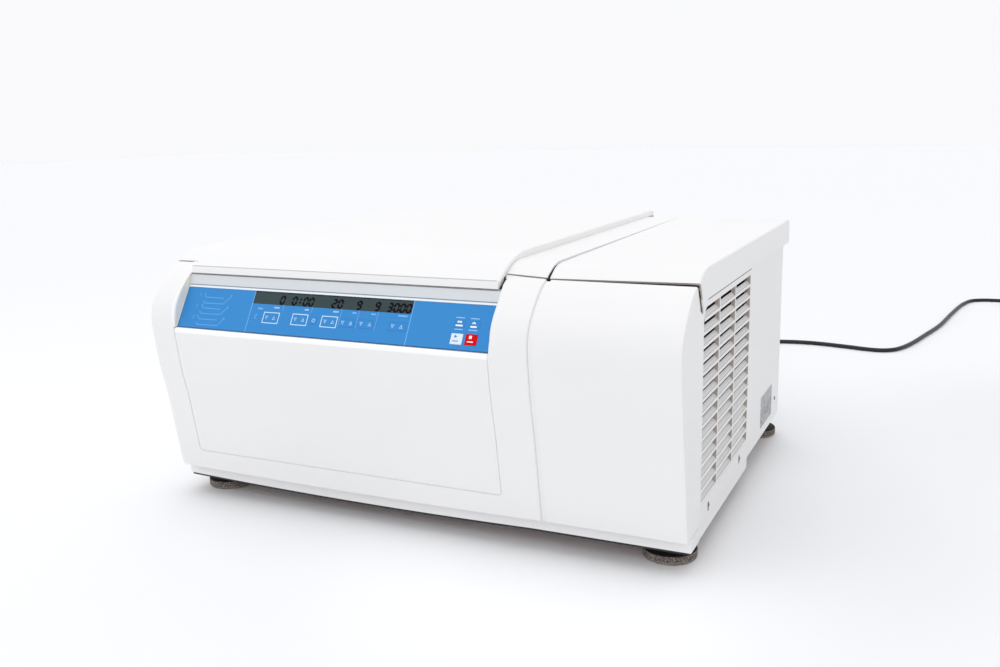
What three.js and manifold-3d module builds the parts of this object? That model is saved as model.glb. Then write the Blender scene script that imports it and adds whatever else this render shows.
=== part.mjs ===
// Refrigerated bench centrifuge. Millimetres, +Z up, -Y front.
// Origin: centre of the object's footprint box, on the surface its feet stand on.
// The machine has two halves under one skin: the spinning section (left, under
// the lid) and the refrigeration section (right, behind the side grille).
import * as THREE from "three";
import { mergeVertices } from "three/addons/utils/BufferGeometryUtils.js";
import Module from "manifold-3d";

const wasm = await Module();
wasm.setup();
const { Manifold, Mesh: WasmMesh } = wasm;

// ---------------------------------------------------------------- dimensions
const HALF_W = 373; // half of the overall width (746)
const Y_FRONT = -337.25; // front bulge
const Y_LID_REAR = 337.25; // rear edge of the lid
const Z_TOP = 360; // lid top
const Z_DECK = 351; // deck and cover top
const Y_COVER_REAR = 300.75; // rear of deck and cover, 37 mm behind the rear panel
const Y_BODY_REAR = 263.65;
const X_PANEL = 370.6; // outside face of the side panels
const X_SPLIT = 191.8; // right edge of the spinning section's skin
const X_FRIDGE = 192.4; // left edge of the refrigeration section's skin
const X_LID = [-327.9, 138];
const X_WIN = [-328.5, 142.5]; // control panel and access cover opening
const Z_BASE = 25.8; // underside of the base pan
const Z_BEZEL = 43.6; // lower edge of the front skin
const Y_SIDE = -249.2; // where the front skin's side strips end
const SKIRT = 314.4; // lower edge of the top covers' skirts
const SKIN = 3;
const GAP = 0.3;
const CX = -95; // rotor axis
const CY = 20;
const CORD_D = 8.5;

// front skin profile (y, z), bottom to top
const FRONT = [
  [-302.5, 43.6], [-306, 62], [-311.5, 95], [-320, 149], [-330, 196], [-336.2, 243],
  [-337.25, 258], [-336.6, 270], [-333, 283], [-326, 295], [-316.6, 306], [-302.75, 319],
  [-290, 328.2], [-281, 332.8], [-273.6, 335.6],
];
// deck and cover profile (y, z), front seam to rear
const DECK = [
  [-273.3, 336.0], [-269.75, 338.9], [-263.25, 342.3], [-254.75, 346.6], [-246, 349.2], [-236, 350.6], [-224.75, Z_DECK],
];
// lid outside profile (y, z), front edge to rear
const LID = [
  [-297.4, 323.3], [-295.6, 330.4], [-289.75, 333.2], [-279.75, 339.6], [-266.75, 347.2],
  [-252, 353.2], [-236, 357.3], [-221.75, 359.3], [-200, Z_TOP], [327, Z_TOP], [333.5, 358.4], [336.6, 355], [Y_LID_REAR, 350],
];

// ------------------------------------------------------------------- helpers
const V3 = THREE.Vector3;
const basis = (x, y, z) => new THREE.Matrix4().makeBasis(new V3(...x), new V3(...y), new V3(...z));
const YZ_TO_X = basis([0, 1, 0], [0, 0, 1], [1, 0, 0]); // drawn in (y, z), pulled along +X
const XZ_TO_Y = basis([1, 0, 0], [0, 0, 1], [0, -1, 0]); // drawn in (x, z), pulled along -Y

// A closed solid, turned outside out if its faces point inwards.
function solid(geometry) {
  const g = geometry.index ? geometry.toNonIndexed() : geometry.clone();
  g.deleteAttribute("normal");
  g.deleteAttribute("uv");
  const xyz = g.attributes.position.array; // the seam of a turned solid has to close exactly
  for (let i = 0; i < xyz.length; i++) xyz[i] = Math.round(xyz[i] * 1e4 + 0.137) / 1e4;
  const m = mergeVertices(g, 1e-4);
  const p = m.attributes.position.array;
  const t = new Uint32Array(m.index.array);
  let volume = 0;
  for (let i = 0; i < t.length; i += 3) {
    const [a, b, c] = [t[i] * 3, t[i + 1] * 3, t[i + 2] * 3];
    volume +=
      p[a] * (p[b + 1] * p[c + 2] - p[b + 2] * p[c + 1]) -
      p[a + 1] * (p[b] * p[c + 2] - p[b + 2] * p[c]) +
      p[a + 2] * (p[b] * p[c + 1] - p[b + 1] * p[c]);
  }
  if (volume < 0) for (let i = 0; i < t.length; i += 3) [t[i + 1], t[i + 2]] = [t[i + 2], t[i + 1]];
  return new Manifold(new WasmMesh({ numProp: 3, vertProperties: Float32Array.from(p), triVerts: t }));
}
const add = (first, ...rest) => rest.reduce((a, b) => a.add(b), first);
const cut = (first, ...rest) => rest.reduce((a, b) => a.subtract(b), first);
function geometryOf(m) {
  const mesh = m.getMesh();
  const n = mesh.vertProperties.length / mesh.numProp;
  const pos = new Float32Array(n * 3);
  for (let i = 0; i < n; i++) for (let k = 0; k < 3; k++) pos[3 * i + k] = mesh.vertProperties[i * mesh.numProp + k];
  const g = new THREE.BufferGeometry();
  g.setAttribute("position", new THREE.BufferAttribute(pos, 3));
  g.setIndex(new THREE.BufferAttribute(Uint32Array.from(mesh.triVerts), 1));
  g.computeVertexNormals();
  return g;
}
const box = (x0, x1, y0, y1, z0, z1) =>
  solid(new THREE.BoxGeometry(x1 - x0, y1 - y0, z1 - z0).translate((x0 + x1) / 2, (y0 + y1) / 2, (z0 + z1) / 2));
const shapeOf = (pts) => new THREE.Shape(pts.map(([a, b]) => new THREE.Vector2(a, b)));
const pull = (pts, depth) => new THREE.ExtrudeGeometry(shapeOf(pts), { depth, bevelEnabled: false, steps: 1, curveSegments: 8 });
const prismX = (yz, x0, x1) => solid(pull(yz, x1 - x0).applyMatrix4(YZ_TO_X).translate(x0, 0, 0));
const prismY = (xz, y0, y1) => solid(pull(xz, y1 - y0).applyMatrix4(XZ_TO_Y).translate(0, y1, 0));
const prismZ = (xy, z0, z1) => solid(pull(xy, z1 - z0).translate(0, 0, z0));
// (radius, height) pairs turned about a vertical axis; loop closes the profile on itself
const turned = (rz, n, cx = 0, cy = 0, loop = false) => {
  const pts = rz.map(([r, z]) => new THREE.Vector2(r, z));
  if (loop) pts.push(pts[0].clone());
  return solid(new THREE.LatheGeometry(pts, n).rotateX(Math.PI / 2).translate(cx, cy, 0));
};
const rod = (r, x0, x1, n = 16) => // cylinder along X through the origin
  solid(new THREE.CylinderGeometry(r, r, x1 - x0, n).rotateZ(Math.PI / 2).translate((x0 + x1) / 2, 0, 0));
const rodZ = (r, z0, z1, n = 16) => solid(new THREE.CylinderGeometry(r, r, z1 - z0, n).rotateX(Math.PI / 2).translate(0, 0, (z0 + z1) / 2));
const rodY = (r, y0, y1, n = 16) => solid(new THREE.CylinderGeometry(r, r, y1 - y0, n).translate(0, (y0 + y1) / 2, 0));
function tube(points, r, sides, steps, tension = 0.5) {
  const path = new THREE.CatmullRomCurve3(points.map((p) => new V3(...p)), false, "centripetal", tension);
  const ring = new THREE.Shape();
  for (let i = 0; i < sides; i++) {
    const a = (2 * Math.PI * i) / sides;
    i ? ring.lineTo(r * Math.cos(a), r * Math.sin(a)) : ring.moveTo(r, 0);
  }
  return solid(new THREE.ExtrudeGeometry(ring, { steps, bevelEnabled: false, extrudePath: path }));
}
// an open line moved sideways: positive d moves it to its left
function shifted(line, d) {
  return line.map((p, i) => {
    const a = line[Math.max(i - 1, 0)], b = line[Math.min(i + 1, line.length - 1)];
    const l = Math.hypot(b[0] - a[0], b[1] - a[1]);
    return [p[0] - ((b[1] - a[1]) / l) * d, p[1] + ((b[0] - a[0]) / l) * d];
  });
}
// part of a line between two heights
function between(line, z0, z1) {
  const at = (z) => {
    for (let i = 0; i + 1 < line.length; i++) {
      const [a, b] = [line[i], line[i + 1]];
      if (z >= a[1] && z <= b[1]) return [a[0] + ((b[0] - a[0]) * (z - a[1])) / (b[1] - a[1]), z];
    }
    return null;
  };
  return [at(z0), ...line.filter(([, z]) => z > z0 + 0.5 && z < z1 - 0.5), at(z1)];
}
const finish = (color, roughness, metalness = 0) => new THREE.MeshStandardMaterial({ color, roughness, metalness });
const WHITE = finish(0xf1f1ef, 0.45), GREY = finish(0xc9ccd0, 0.5), STEEL = finish(0xb9bcc0, 0.35, 0.9),
  BLUE = finish(0x3f8fd8, 0.4), DARK = finish(0x2b2b2d, 0.6), RUBBER = finish(0x6a6460, 0.95), GLASS = finish(0x46554c, 0.15),
  RED = finish(0xc8342b, 0.4), PALE = finish(0xeef3fa, 0.4), COPPER = finish(0xb4714a, 0.35, 0.9), FOAM = finish(0xd9d2b8, 0.95),
  BLACK = finish(0x161616, 0.55), ALLOY = finish(0xa7adb5, 0.4, 0.85), BEIGE = finish(0xdcd8cf, 0.55), GREEN = finish(0x2f6b45, 0.6);

const object = new THREE.Group();
const piece = (parent, name, m, material) => {
  const mesh = new THREE.Mesh(m.isBufferGeometry ? m : geometryOf(m), material);
  mesh.name = name;
  parent.add(mesh);
  return mesh;
};

// ---------------------------------------------------------------- base, feet
piece(object, "base_pan", cut( // a tray with a wide front band and a ledge behind that carries the rear feet
  add(
    box(-371.3, 371.3, -287.35, -249.5, Z_BASE, 43.1),
    box(-361, 361, -260, 263.2, Z_BASE, 43.1),
    box(-345, 345, 255, 296, Z_BASE, 36),
  ),
  box(-369.5, 369.5, -285.5, -251.3, 27.6, 50),
  box(-359.2, 359.2, -260, 261.4, 27.6, 50),
  box(-343.2, 343.2, 263.2, 294.2, 27.6, 50),
), WHITE);
const footGeometry = geometryOf(turned([[0, 0], [31.6, 0], [33, 1.5], [33, 12], [12, 12], [9, 14], [9, 25.5], [0, 25.5]], 20));
for (const [name, x, y] of [["foot_front_left", -334, -243], ["foot_front_right", 334, -243], ["foot_rear_left", -334, 267], ["foot_rear_right", 334, 267]])
  piece(object, name, footGeometry, RUBBER).position.set(x, y, 0);

// --------------------------------------------------------------- front skins
const top = FRONT.length - 1;
const skinOutline = [...FRONT, [-256.4, 300.4], [Y_SIDE, 298.6], [Y_SIDE, Z_BEZEL]];
const inside = (x0, x1, d = SKIN) => {
  const l = shifted(FRONT, -d);
  return prismX([[l[0][0], 30], ...l.slice(0, top), [-272.5, 332.4], [-240, 345], [-200, 345], [-200, 30]], x0, x1);
};
const flush = between(FRONT, 70.3, 251.2);
// inner wall of a pillar beside the sunken control panel
const cheek = [...between(FRONT, 250, 335.5), [-273.9, 331], [-288, 316], [-300, 296], [-318, 262], [-326, 250]];
piece(object, "front_bezel", add(
  cut(
    prismX(skinOutline, -HALF_W, X_SPLIT),
    inside(-370, X_SPLIT - SKIN),
    box(X_WIN[0], X_WIN[1], -360, -240, 70, 251.5),
    box(X_WIN[0], X_WIN[1], -360, -250, 251.4, 345),
  ),
  prismX(cheek, X_WIN[0] - SKIN, X_WIN[0]),
  prismX(cheek, X_WIN[1], X_WIN[1] + SKIN),
  // between the pillars a rail runs low enough to clear the lid's front edge
  prismX([[-292.2, 322.7], [-273.9, 332.9], [-273.9, 329.6], [-290.8, 320.2]], X_WIN[0] - 1.5, X_WIN[1] + 1.5),
), WHITE);
piece(object, "fridge_front", cut(prismX(skinOutline, X_FRIDGE, HALF_W), inside(X_FRIDGE + SKIN, 370)), WHITE);
piece(object, "front_access_panel", prismX([...flush, ...shifted(flush, -2.5).reverse()], X_WIN[0] + GAP, X_WIN[1] - GAP), WHITE);

// ------------------------------------------------------------- control panel
// The panel leans back 31 degrees: local X to the right, Y up its slope, Z out of it.
const PX = -93, PW = 235.2, PH = 57.9; // panel centre, half width, height
const panel = new THREE.Group();
panel.position.set(PX, -334.15, 254.8);
panel.rotation.x = Math.atan2(49.7, 30.0);
object.add(panel);
const upSlope = (v, n) => { // local (y, z) to the part's (y, z)
  const c = 30.0 / 58.05, s = 49.7 / 58.05;
  return [-334.15 + v * c - n * s, 254.8 + v * s + n * c];
};
// keys: name, centre u, v, width, height, colour
const KEYS = [
  ["key_rocker_1", -84.4, 22.6, 21.8, 12.2, BLUE], ["key_rocker_2", -39.1, 23.1, 21.2, 12.2, BLUE], ["key_star", -16.9, 23.0, 9, 9, BLUE],
  ["key_rocker_3", 6.3, 23.2, 21, 12, BLUE], ["key_rocker_4", 33.2, 23.4, 22.4, 11, BLUE], ["key_rocker_5", 60.2, 23.7, 22.4, 11, BLUE],
  ["key_rocker_6", 105.8, 23.7, 24.4, 11, BLUE],
  ["key_pulse", 190.3, 33.0, 14, 8.4, BLUE], ["key_open", 210.2, 33.1, 14, 8.4, BLUE],
  ["key_start", 190.0, 14.2, 15.6, 13.6, PALE], ["key_stop", 209.3, 14.4, 15.6, 13.6, RED],
];
const LCD = [-117.3, 121.3, 41.2, 57.0];
const keyHoles = (z0, z1, grow) => KEYS.map(([, u, v, w, h]) => box(u - w / 2 - grow, u + w / 2 + grow, v - h / 2 - grow, v + h / 2 + grow, z0, z1));
piece(panel, "control_overlay", cut(
  box(-PW, PW, 0.2, PH, -1, 0),
  ...keyHoles(-2, 1, 0.35),
  box(LCD[0] - 0.4, LCD[1] + 0.4, LCD[2] - 0.4, 70, -2, 1),
  box(-PW - 1, PW + 1, PH, 80, -2, 1),
), BLUE);
piece(panel, "display_window", box(LCD[0], LCD[1], LCD[2], PH - 0.2, -1.2, -0.2), GLASS);
for (const [name, u, v, w, h, m] of KEYS) {
  const rocker = name.includes("rocker");
  const cap = prismX([[-h / 2, -3.2], [h / 2, -3.2], [h / 2, -0.2], [h / 2 - 0.8, 0.35], [-h / 2 + 0.8, 0.35], [-h / 2, -0.2]], -w / 2, w / 2);
  const stem = rocker ? box(-2, 2, -h / 2 + 1, h / 2 - 1, -6.4, -2) : box(-w / 2 + 3, w / 2 - 3, -h / 2 + 2, h / 2 - 2, -6.8, -2);
  piece(panel, name, add(cap, stem), m).position.set(u, v, 0);
}
piece(panel, "control_board", cut(box(-226, 222, 4, 52, -10.6, -9), box(-175, -135, 10, 40, -20, 0)), GREEN);
const P = (v, n) => upSlope(v, n);
const carrier = cut(
  prismX([[-295.4, 322.5], P(PH + 0.3, 0), P(PH + 0.3, -1.3), P(-0.1, -1.3), P(-0.1, 0), [-336.8, 252.1],
    [-332.5, 251.8], P(1.2, -3.6), P(PH + 0.5, -3.6), [-301.4, 305.5], [-292.7, 322.5]], X_WIN[0] + GAP, X_WIN[1] - GAP),
);
{
  // holes for the keys and for the display's pins
  const holes = keyHoles(-8, 2, 0.9).concat([box(-90, 90, 44, 54, -8, 2)]);
  const m = new THREE.Matrix4().makeRotationX(panel.rotation.x).setPosition(PX, -334.15, 254.8);
  piece(object, "panel_fascia", holes.reduce((a, b) => a.subtract(b.transform(m.elements)), carrier), GREY);
}

// --------------------------------------------------------- deck, fridge cover
const coverOutline = (rear) => [
  [-256.0, 300.6], [-252, 306], [-244, 311.5], [-232, 314.1], [-220, SKIRT], [rear, SKIRT], [rear, Z_DECK - 4], [rear - 4, Z_DECK],
  ...[...DECK].reverse(),
];
const coverInside = (x0, x1, rear, t = 2.6) => {
  const l = shifted(DECK, -t);
  return prismX([[-300, 250], [rear - t, 250], [rear - t, Z_DECK - t - 3], [rear - t - 3, Z_DECK - t], ...l.slice(1).reverse(), [-275.5, 334.2], [-276.5, 333.4], [-300, 320]], x0, x1);
};
piece(object, "top_deck", cut(
  prismX(coverOutline(Y_COVER_REAR), -HALF_W, X_SPLIT),
  coverInside(-370.95, X_SPLIT + 1, Y_COVER_REAR),
  turned([[0, 300], [221, 300], [221, 370], [0, 370]], 48, CX, CY),
  box(CX - 9, CX + 9, -234, -214, 330, 370), // slot for the lid's hook
), WHITE);
piece(object, "fridge_top_cover", cut(
  prismX(coverOutline(Y_COVER_REAR), X_FRIDGE, HALF_W),
  coverInside(X_FRIDGE - 1, 370.95, Y_COVER_REAR),
), WHITE);

// ------------------------------------------------------------- side and rear
piece(object, "left_side_panel", add(
  box(-X_PANEL, -X_PANEL + 1.5, Y_SIDE + GAP, Y_BODY_REAR, 40.3, 340),
  box(-X_PANEL, -X_PANEL + 1.5, Y_SIDE + GAP, 22, Z_BASE, 60), // the front half hangs lower
  box(-X_PANEL, -340, 262.15, Y_BODY_REAR, 43.5, 312),
), WHITE);
const GR = { y0: -246.4, y1: 16.6, z0: 63.2, z1: 316.5 }; // louvre field of the right side
piece(object, "right_side_panel", cut(
  add(
    box(X_PANEL - 1.5, X_PANEL, Y_SIDE + GAP, Y_BODY_REAR, 40.3, 340),
    box(X_PANEL - 1.5, X_PANEL, Y_SIDE + GAP, 22, Z_BASE, 60),
  ),
  box(360, 380, GR.y0, GR.y1, GR.z0, GR.z1),
), WHITE);
{
  const [y0, y1, z0, z1] = [GR.y0 + GAP, GR.y1 - GAP, GR.z0 + GAP, GR.z1 - GAP];
  const frame = cut(box(364.5, 370.4, y0, y1, z0, z1), box(360, 380, y0 + 3, -167, 66.5, 304), box(360, 380, -163, -80.5, 66.5, 304), box(360, 380, -76.5, y1 - 3, 66.5, 304));
  const rows = 15, pitch = (304 - 66.5) / rows;
  const slats = [];
  for (let i = 0; i < rows; i++) { // each slat has an upright lip and a leaf that leans inwards
    const z = 66.5 + i * pitch;
    const slat = (a, b) => prismY([[370.0, z + 0.3], [370.0, z + 3.3], [368.9, z + 4.2], [364.9, z + 8.0], [364.9, z + 6.4], [368.3, z + 2.6], [368.3, z + 0.3]], a, b);
    slats.push(slat(y0 + 1, -166), slat(-164, -79.5), slat(-77.5, y1 - 1));
  }
  piece(object, "side_grille", add(frame, ...slats), BEIGE);
}
const SW = { x: 300, z: 92 }, INLET = { x: 225, z: 78 };
piece(object, "rear_panel", cut(
  box(-339.6, 368.8, 262.15, Y_BODY_REAR, 43.5, 336),
  box(SW.x - 11.5, SW.x + 11.5, 255, 270, SW.z - 15.5, SW.z + 15.5),
  prismY(Array.from({ length: 16 }, (_, i) => [INLET.x + 12.6 * Math.cos(i * Math.PI / 8), INLET.z + 12.6 * Math.sin(i * Math.PI / 8)]), 255, 270),
  ...Array.from({ length: 9 }, (_, i) => box(190 + i * 18, 198 + i * 18, 255, 270, 150, 285)),
  ...Array.from({ length: 7 }, (_, i) => box(-150 + i * 18, -142 + i * 18, 255, 270, 60, 120)),
), GREY);

// ------------------------------------------------------ mains switch and cord
const seat = new THREE.Group(); // the rocker pivots on a pin across the seat
seat.position.set(SW.x, 262, SW.z);
object.add(seat);
piece(seat, "mains_switch", prismX([[-8, -8], [-8, 8], [0.5, 11.2], [4.4, 13.2], [3.2, 0], [4.4, -13.2], [0.5, -11.2]], -9.8, 9.8), BLACK).rotation.x = THREE.MathUtils.degToRad(6);
piece(object, "switch_frame", add(
  cut(box(SW.x - 13.5, SW.x + 13.5, Y_BODY_REAR + GAP, Y_BODY_REAR + 2.3, SW.z - 18, SW.z + 18), box(SW.x - 10.2, SW.x + 10.2, 255, 275, SW.z - 14.8, SW.z + 14.8)),
  cut(box(SW.x - 11.2, SW.x + 11.2, 240, Y_BODY_REAR + 1, SW.z - 15.2, SW.z + 15.2), box(SW.x - 10.2, SW.x + 10.2, 242, 275, SW.z - 14.8, SW.z + 14.8)),
), DARK);
const lathedY = (ry, n, x, z) => { // (radius, y) turned about an axis along Y
  const g = new THREE.LatheGeometry(ry.map(([r, y]) => new THREE.Vector2(r, y)), n).translate(x, 0, z);
  return solid(g);
};
piece(object, "cord_gland", lathedY([[0, 250], [12, 250], [12, 264], [16.5, 264], [16.5, 269], [13, 271], [8.4, 276], [7.6, 290], [5.6, 310], [0, 310]], 16, INLET.x, INLET.z), BLACK);
const CORD = [
  [225, 310.3, 78], [225, 326, 77.6], [224.6, 345, 72], [223.6, 372, 54], [221.6, 402, 30], [218.6, 434, 12], [214.8, 466, 5.6], [209.5, 505, 4.6],
  [199, 570, 4.6], [187, 640, 4.6], [177, 712, 4.6], [171, 780, 4.6], [171.5, 840, 4.6], [183, 893, 4.6], [210, 929, 4.6], [255, 945, 4.6],
  [301, 954, 4.6], [345, 953, 4.6], [411, 939.5, 4.6], [448, 930, 4.6], [480, 930, 4.6], [506, 950, 4.6], [531, 1012, 4.6], [557, 1121, 4.6], [585, 1251, 4.6],
  [604, 1389, 4.6], [625, 1526, 4.6], [640, 1588, 4.6], [656, 1622, 4.6], [686, 1638, 4.6], [720, 1641, 4.6], [758.5, 1641.6, 4.6],
];
piece(object, "mains_cord", tube(CORD, CORD_D / 2, 8, 80), BLACK);
const COIL = { x: 790, y: 1593.6, r: 48, top: 26.2 };
piece(object, "cord_coil", turned([[COIL.r - 4.7, 0.2], [COIL.r + 4.4, 0.2], [COIL.r + 4.7, 0.6], [COIL.r + 4.7, COIL.top], [COIL.r - 4.7, COIL.top]], 28, COIL.x, COIL.y, true), BLACK);
{ // plug: lies flat, pointing to the front, its cable end against the coil
  const [px, pz, y] = [COIL.x + COIL.r, 19.2, COIL.y - 31];
  const body = lathedY([[0, y], [5.4, y], [6.6, y - 14], [9, y - 22], [15, y - 30], [18.8, y - 40], [18.8, y - 56], [17.5, y - 58], [0, y - 58]], 18, px, pz);
  const pin = (dx) => rodY(2.4, y - 77, y - 50, 10).translate([px + dx, 0, pz]);
  piece(object, "mains_plug", add(body, pin(-9.5), pin(9.5)), BLACK);
}

// ------------------------------------------------------------ chamber, drive
const chamber = new THREE.Group(); // everything round the rotor axis
chamber.position.set(CX, CY, 0);
object.add(chamber);
piece(chamber, "chamber_bowl", turned([
  [20, 131.5], [190, 131.5], [200, 135], [205, 146], [205, 345.9], [219.5, 345.9], [219.5, 344.3], [206.6, 344.3], [206.6, 146], [201.3, 133.8], [190.6, 129.9], [20, 129.9],
], 40, 0, 0, true), STEEL);
piece(chamber, "chamber_gasket", turned([[209, 346.3], [218, 346.3], [217, 351.7], [212.5, 351.9], [209.6, 350.2]], 36, 0, 0, true), DARK);
piece(chamber, "insulation_shell", turned([
  [34, 112], [230, 112], [230, 343.8], [219, 343.8], [219, 127.5], [34, 127.5],
], 36, 0, 0, true), FOAM);
{
  const turns = 3, n = turns * 20 + 1;
  const pts = Array.from({ length: n }, (_, i) => {
    const a = (i / 20) * 2 * Math.PI, z = 165 + (i / (n - 1)) * 140;
    return [213 * Math.cos(a), 213 * Math.sin(a), z];
  });
  piece(chamber, "evaporator_coil", tube(pts, 3.4, 6, 84), COPPER);
}
piece(chamber, "drive_motor", turned([[0, 28], [52, 28], [52, 36], [62, 42], [62, 98], [52, 106], [27, 108], [27, 126], [12.6, 126], [12.6, 60], [0, 60]], 20), ALLOY);
piece(chamber, "drive_spindle", turned([[0, 62], [9, 62], [12, 64], [12, 200], [10.5, 252], [8, 254], [0, 254]], 20), STEEL);
const PIVOT = 104, PZ = 234; // bucket pivot radius and height
{
  const quarter = (k, m) => m.rotate([0, 0, 90 * k]);
  let body = turned([[12.5, 206], [30, 206], [34, 212], [34, 240], [28, 247], [12.5, 247]], 20, 0, 0, true);
  for (let k = 0; k < 4; k++) {
    const fork = prismZ([[56.4, 56.4], [122, 56.4], [122, 68], [82, 82], [68, 122], [56.4, 122]], PZ - 11, PZ + 11);
    const arm = prismZ([[14, 32], [32, 14], [72, 54], [54, 72]], PZ - 13, PZ + 6);
    const pinX = rodY(5, 48.4, 60, 12).translate([PIVOT, 0, PZ]);
    const pinY = rod(5, 48.4, 60, 12).translate([0, PIVOT, PZ]);
    body = add(body, quarter(k, fork), quarter(k, arm), quarter(k, pinX), quarter(k, pinY));
  }
  piece(chamber, "rotor_body", body, ALLOY);
}
piece(chamber, "rotor_nut", turned([[0, 258], [12.4, 258], [12.4, 247.4], [24, 247.4], [25, 250], [25, 262], [22, 266], [0, 266]], 20), DARK);
{
  const cup = turned([[0, -90], [31, -90], [40, -86], [45, -76], [45, 20], [41.8, 20], [41.8, -74], [37, -84], [0, -85]], 20);
  const boss = (s) => cut(
    rodY(10, 42.5, 55.8, 12),
    rodY(5.4, 47.6, 60, 12), box(-5.4, 5.4, 47.6, 60, -14, 0),
  ).scale([1, s, 1]);
  const bucket = geometryOf(add(cup, cut(add(boss(1), boss(-1)), rodZ(43, -60, 40, 20))));
  for (let k = 0; k < 4; k++) {
    const m = piece(chamber, "bucket_" + (k + 1), bucket, STEEL);
    m.rotation.z = (k * Math.PI) / 2;
    m.position.set(PIVOT * Math.cos(m.rotation.z), PIVOT * Math.sin(m.rotation.z), PZ);
  }
}

// ----------------------------------------------------------------- the lid
const HINGE = { y: 318, z: 337 };
{
  const low = [[-294.2, 323.3], [-287.6, 328.2], [-273.6, 336.9], [-269.8, 339.8], [-262.6, 343.4], [-254.2, 347.6], [-245, 350.2], [-235, 351.5], [-224, 351.8], [333, 351.8], [333, 342], [Y_LID_REAR, 342]];
  const outer = prismX([...LID, ...low.slice().reverse()], X_LID[0], X_LID[1]);
  const roof = shifted(LID.slice(2, 10), -3);
  const hollow = prismX([[-289, 320], [-289.6, 328.4], ...roof, [331, 355.6], [333.9, 350], [333.9, 300], [-200, 300]], X_LID[0] + 3, X_LID[1] - 3);
  const ear = (x) => cut(prismX([[305, 357.4], [331, 357.4], [328, 331], [318, 326], [308, 331]], x, x + 6), rod(4.4, x - 1, x + 7, 16).translate([0, HINGE.y, HINGE.z]));
  piece(object, "lid_shell", add(cut(outer, hollow), ear(-292), ear(96)), WHITE);
}
piece(object, "lid_liner", add(
  box(-324.4, 134.5, -222, 300, 352.3, 355.2),
  turned([[0, 337], [190, 337], [198, 341], [202, 353], [0, 353]], 40, CX, CY),
  turned([[208.5, 352.2], [219, 352.2], [219, 353.5], [208.5, 353.5]], 32, CX, CY, true),
), GREY);
piece(object, "lid_hook", prismX([[-231, 351.9], [-231, 314], [-227, 308], [-220, 308], [-220, 313], [-224.5, 315], [-224.5, 351.9]], CX - 5, CX + 5), STEEL);
piece(object, "lock_unit", cut(
  box(CX - 32, CX + 32, -250, -211.5, 288, 341.5),
  box(CX - 7.5, CX + 7.5, -234, -215, 296, 350),
), DARK);
piece(object, "hinge_rod", rod(4, -304, 114, 16).translate([0, HINGE.y, HINGE.z]), STEEL);
for (const [name, x] of [["hinge_bracket_left", -301], ["hinge_bracket_right", 105]])
  piece(object, name, cut(
    add(box(x - 14, x + 20, Y_COVER_REAR + GAP, 304.3, 316, 349), prismX([[304, 318], [304, 348.6], [322, 348.6], [326.5, 344], [326.5, 331], [318, 326]], x, x + 6)),
    rod(4.3, x - 1, x + 7, 16).translate([0, HINGE.y, HINGE.z]),
  ), STEEL);

// --------------------------------------------------------- refrigeration unit
piece(object, "compressor", turned([[0, 28], [58, 28], [58, 34], [70, 40], [70, 165], [62, 188], [40, 204], [0, 208]], 24, 262, 168), DARK);
{
  const comb = [[336, 62], [362, 62]];
  for (let i = 0; i < 20; i++) { const z = 62 + i * 11.8; comb.push([362, z + 3.5], [340, z + 3.5], [340, z + 11.8], [362, z + 11.8]); }
  comb.push([362, 62 + 20 * 11.8 + 3.5], [336, 62 + 20 * 11.8 + 3.5]);
  piece(object, "condenser", prismY(comb, -240, 5), ALLOY);
}
const FAN = { y: -117.5, z: 180 };
const aboutFan = (m) => m.translate([0, FAN.y, FAN.z]);
piece(object, "fan_shroud", (() => {
  let m = cut(add(box(330, 334, -240, 5, 60, 300), aboutFan(rod(106, 302, 333, 28))), aboutFan(rod(101, 295, 340, 28)));
  for (const a of [30, 150, 270]) {
    m = add(m, aboutFan(prismX([[-4, 0], [4, 0], [4, 104], [-4, 104]], 296, 303).rotate([a, 0, 0])));
  }
  return cut(add(m, aboutFan(rod(25, 272, 303, 20))), aboutFan(rod(3.4, 290, 310, 10)));
})(), DARK);
piece(object, "condenser_fan", (() => {
  let m = aboutFan(rod(21, 306, 326, 20));
  for (let k = 0; k < 5; k++)
    m = add(m, aboutFan(solid(new THREE.BoxGeometry(3, 40, 80).rotateZ(0.55).translate(316, 0, 57)).rotate([72 * k, 0, 0])));
  return add(m, aboutFan(rod(3, 293, 308, 10)));
})(), BLACK);
piece(object, "refrigerant_pipe", tube([[262, 168, 208.4], [262, 164, 236], [266, 140, 262], [285, 100, 276], [322, 62, 284], [346, 40, 288], [350, 22, 288], [350, 5.4, 288]], 4, 8, 22), COPPER);
piece(object, "power_unit", box(205, 262, -292, -130, 62, 240), GREY);

export default object;
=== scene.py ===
import math

import bmesh
import bpy
from mathutils import Matrix, Vector


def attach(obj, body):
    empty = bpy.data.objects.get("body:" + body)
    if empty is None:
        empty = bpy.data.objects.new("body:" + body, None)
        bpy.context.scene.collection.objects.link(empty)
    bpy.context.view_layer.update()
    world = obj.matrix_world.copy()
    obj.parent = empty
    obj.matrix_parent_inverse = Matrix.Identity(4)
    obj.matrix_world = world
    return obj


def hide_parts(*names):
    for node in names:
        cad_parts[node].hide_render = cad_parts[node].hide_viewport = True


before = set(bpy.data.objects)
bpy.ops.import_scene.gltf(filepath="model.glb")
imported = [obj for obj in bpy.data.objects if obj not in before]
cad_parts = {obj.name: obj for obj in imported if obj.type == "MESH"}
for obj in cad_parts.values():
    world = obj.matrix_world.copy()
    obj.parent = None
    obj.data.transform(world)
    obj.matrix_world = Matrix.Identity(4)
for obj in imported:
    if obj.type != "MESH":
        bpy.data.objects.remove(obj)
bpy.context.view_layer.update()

MM = 0.001

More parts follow.
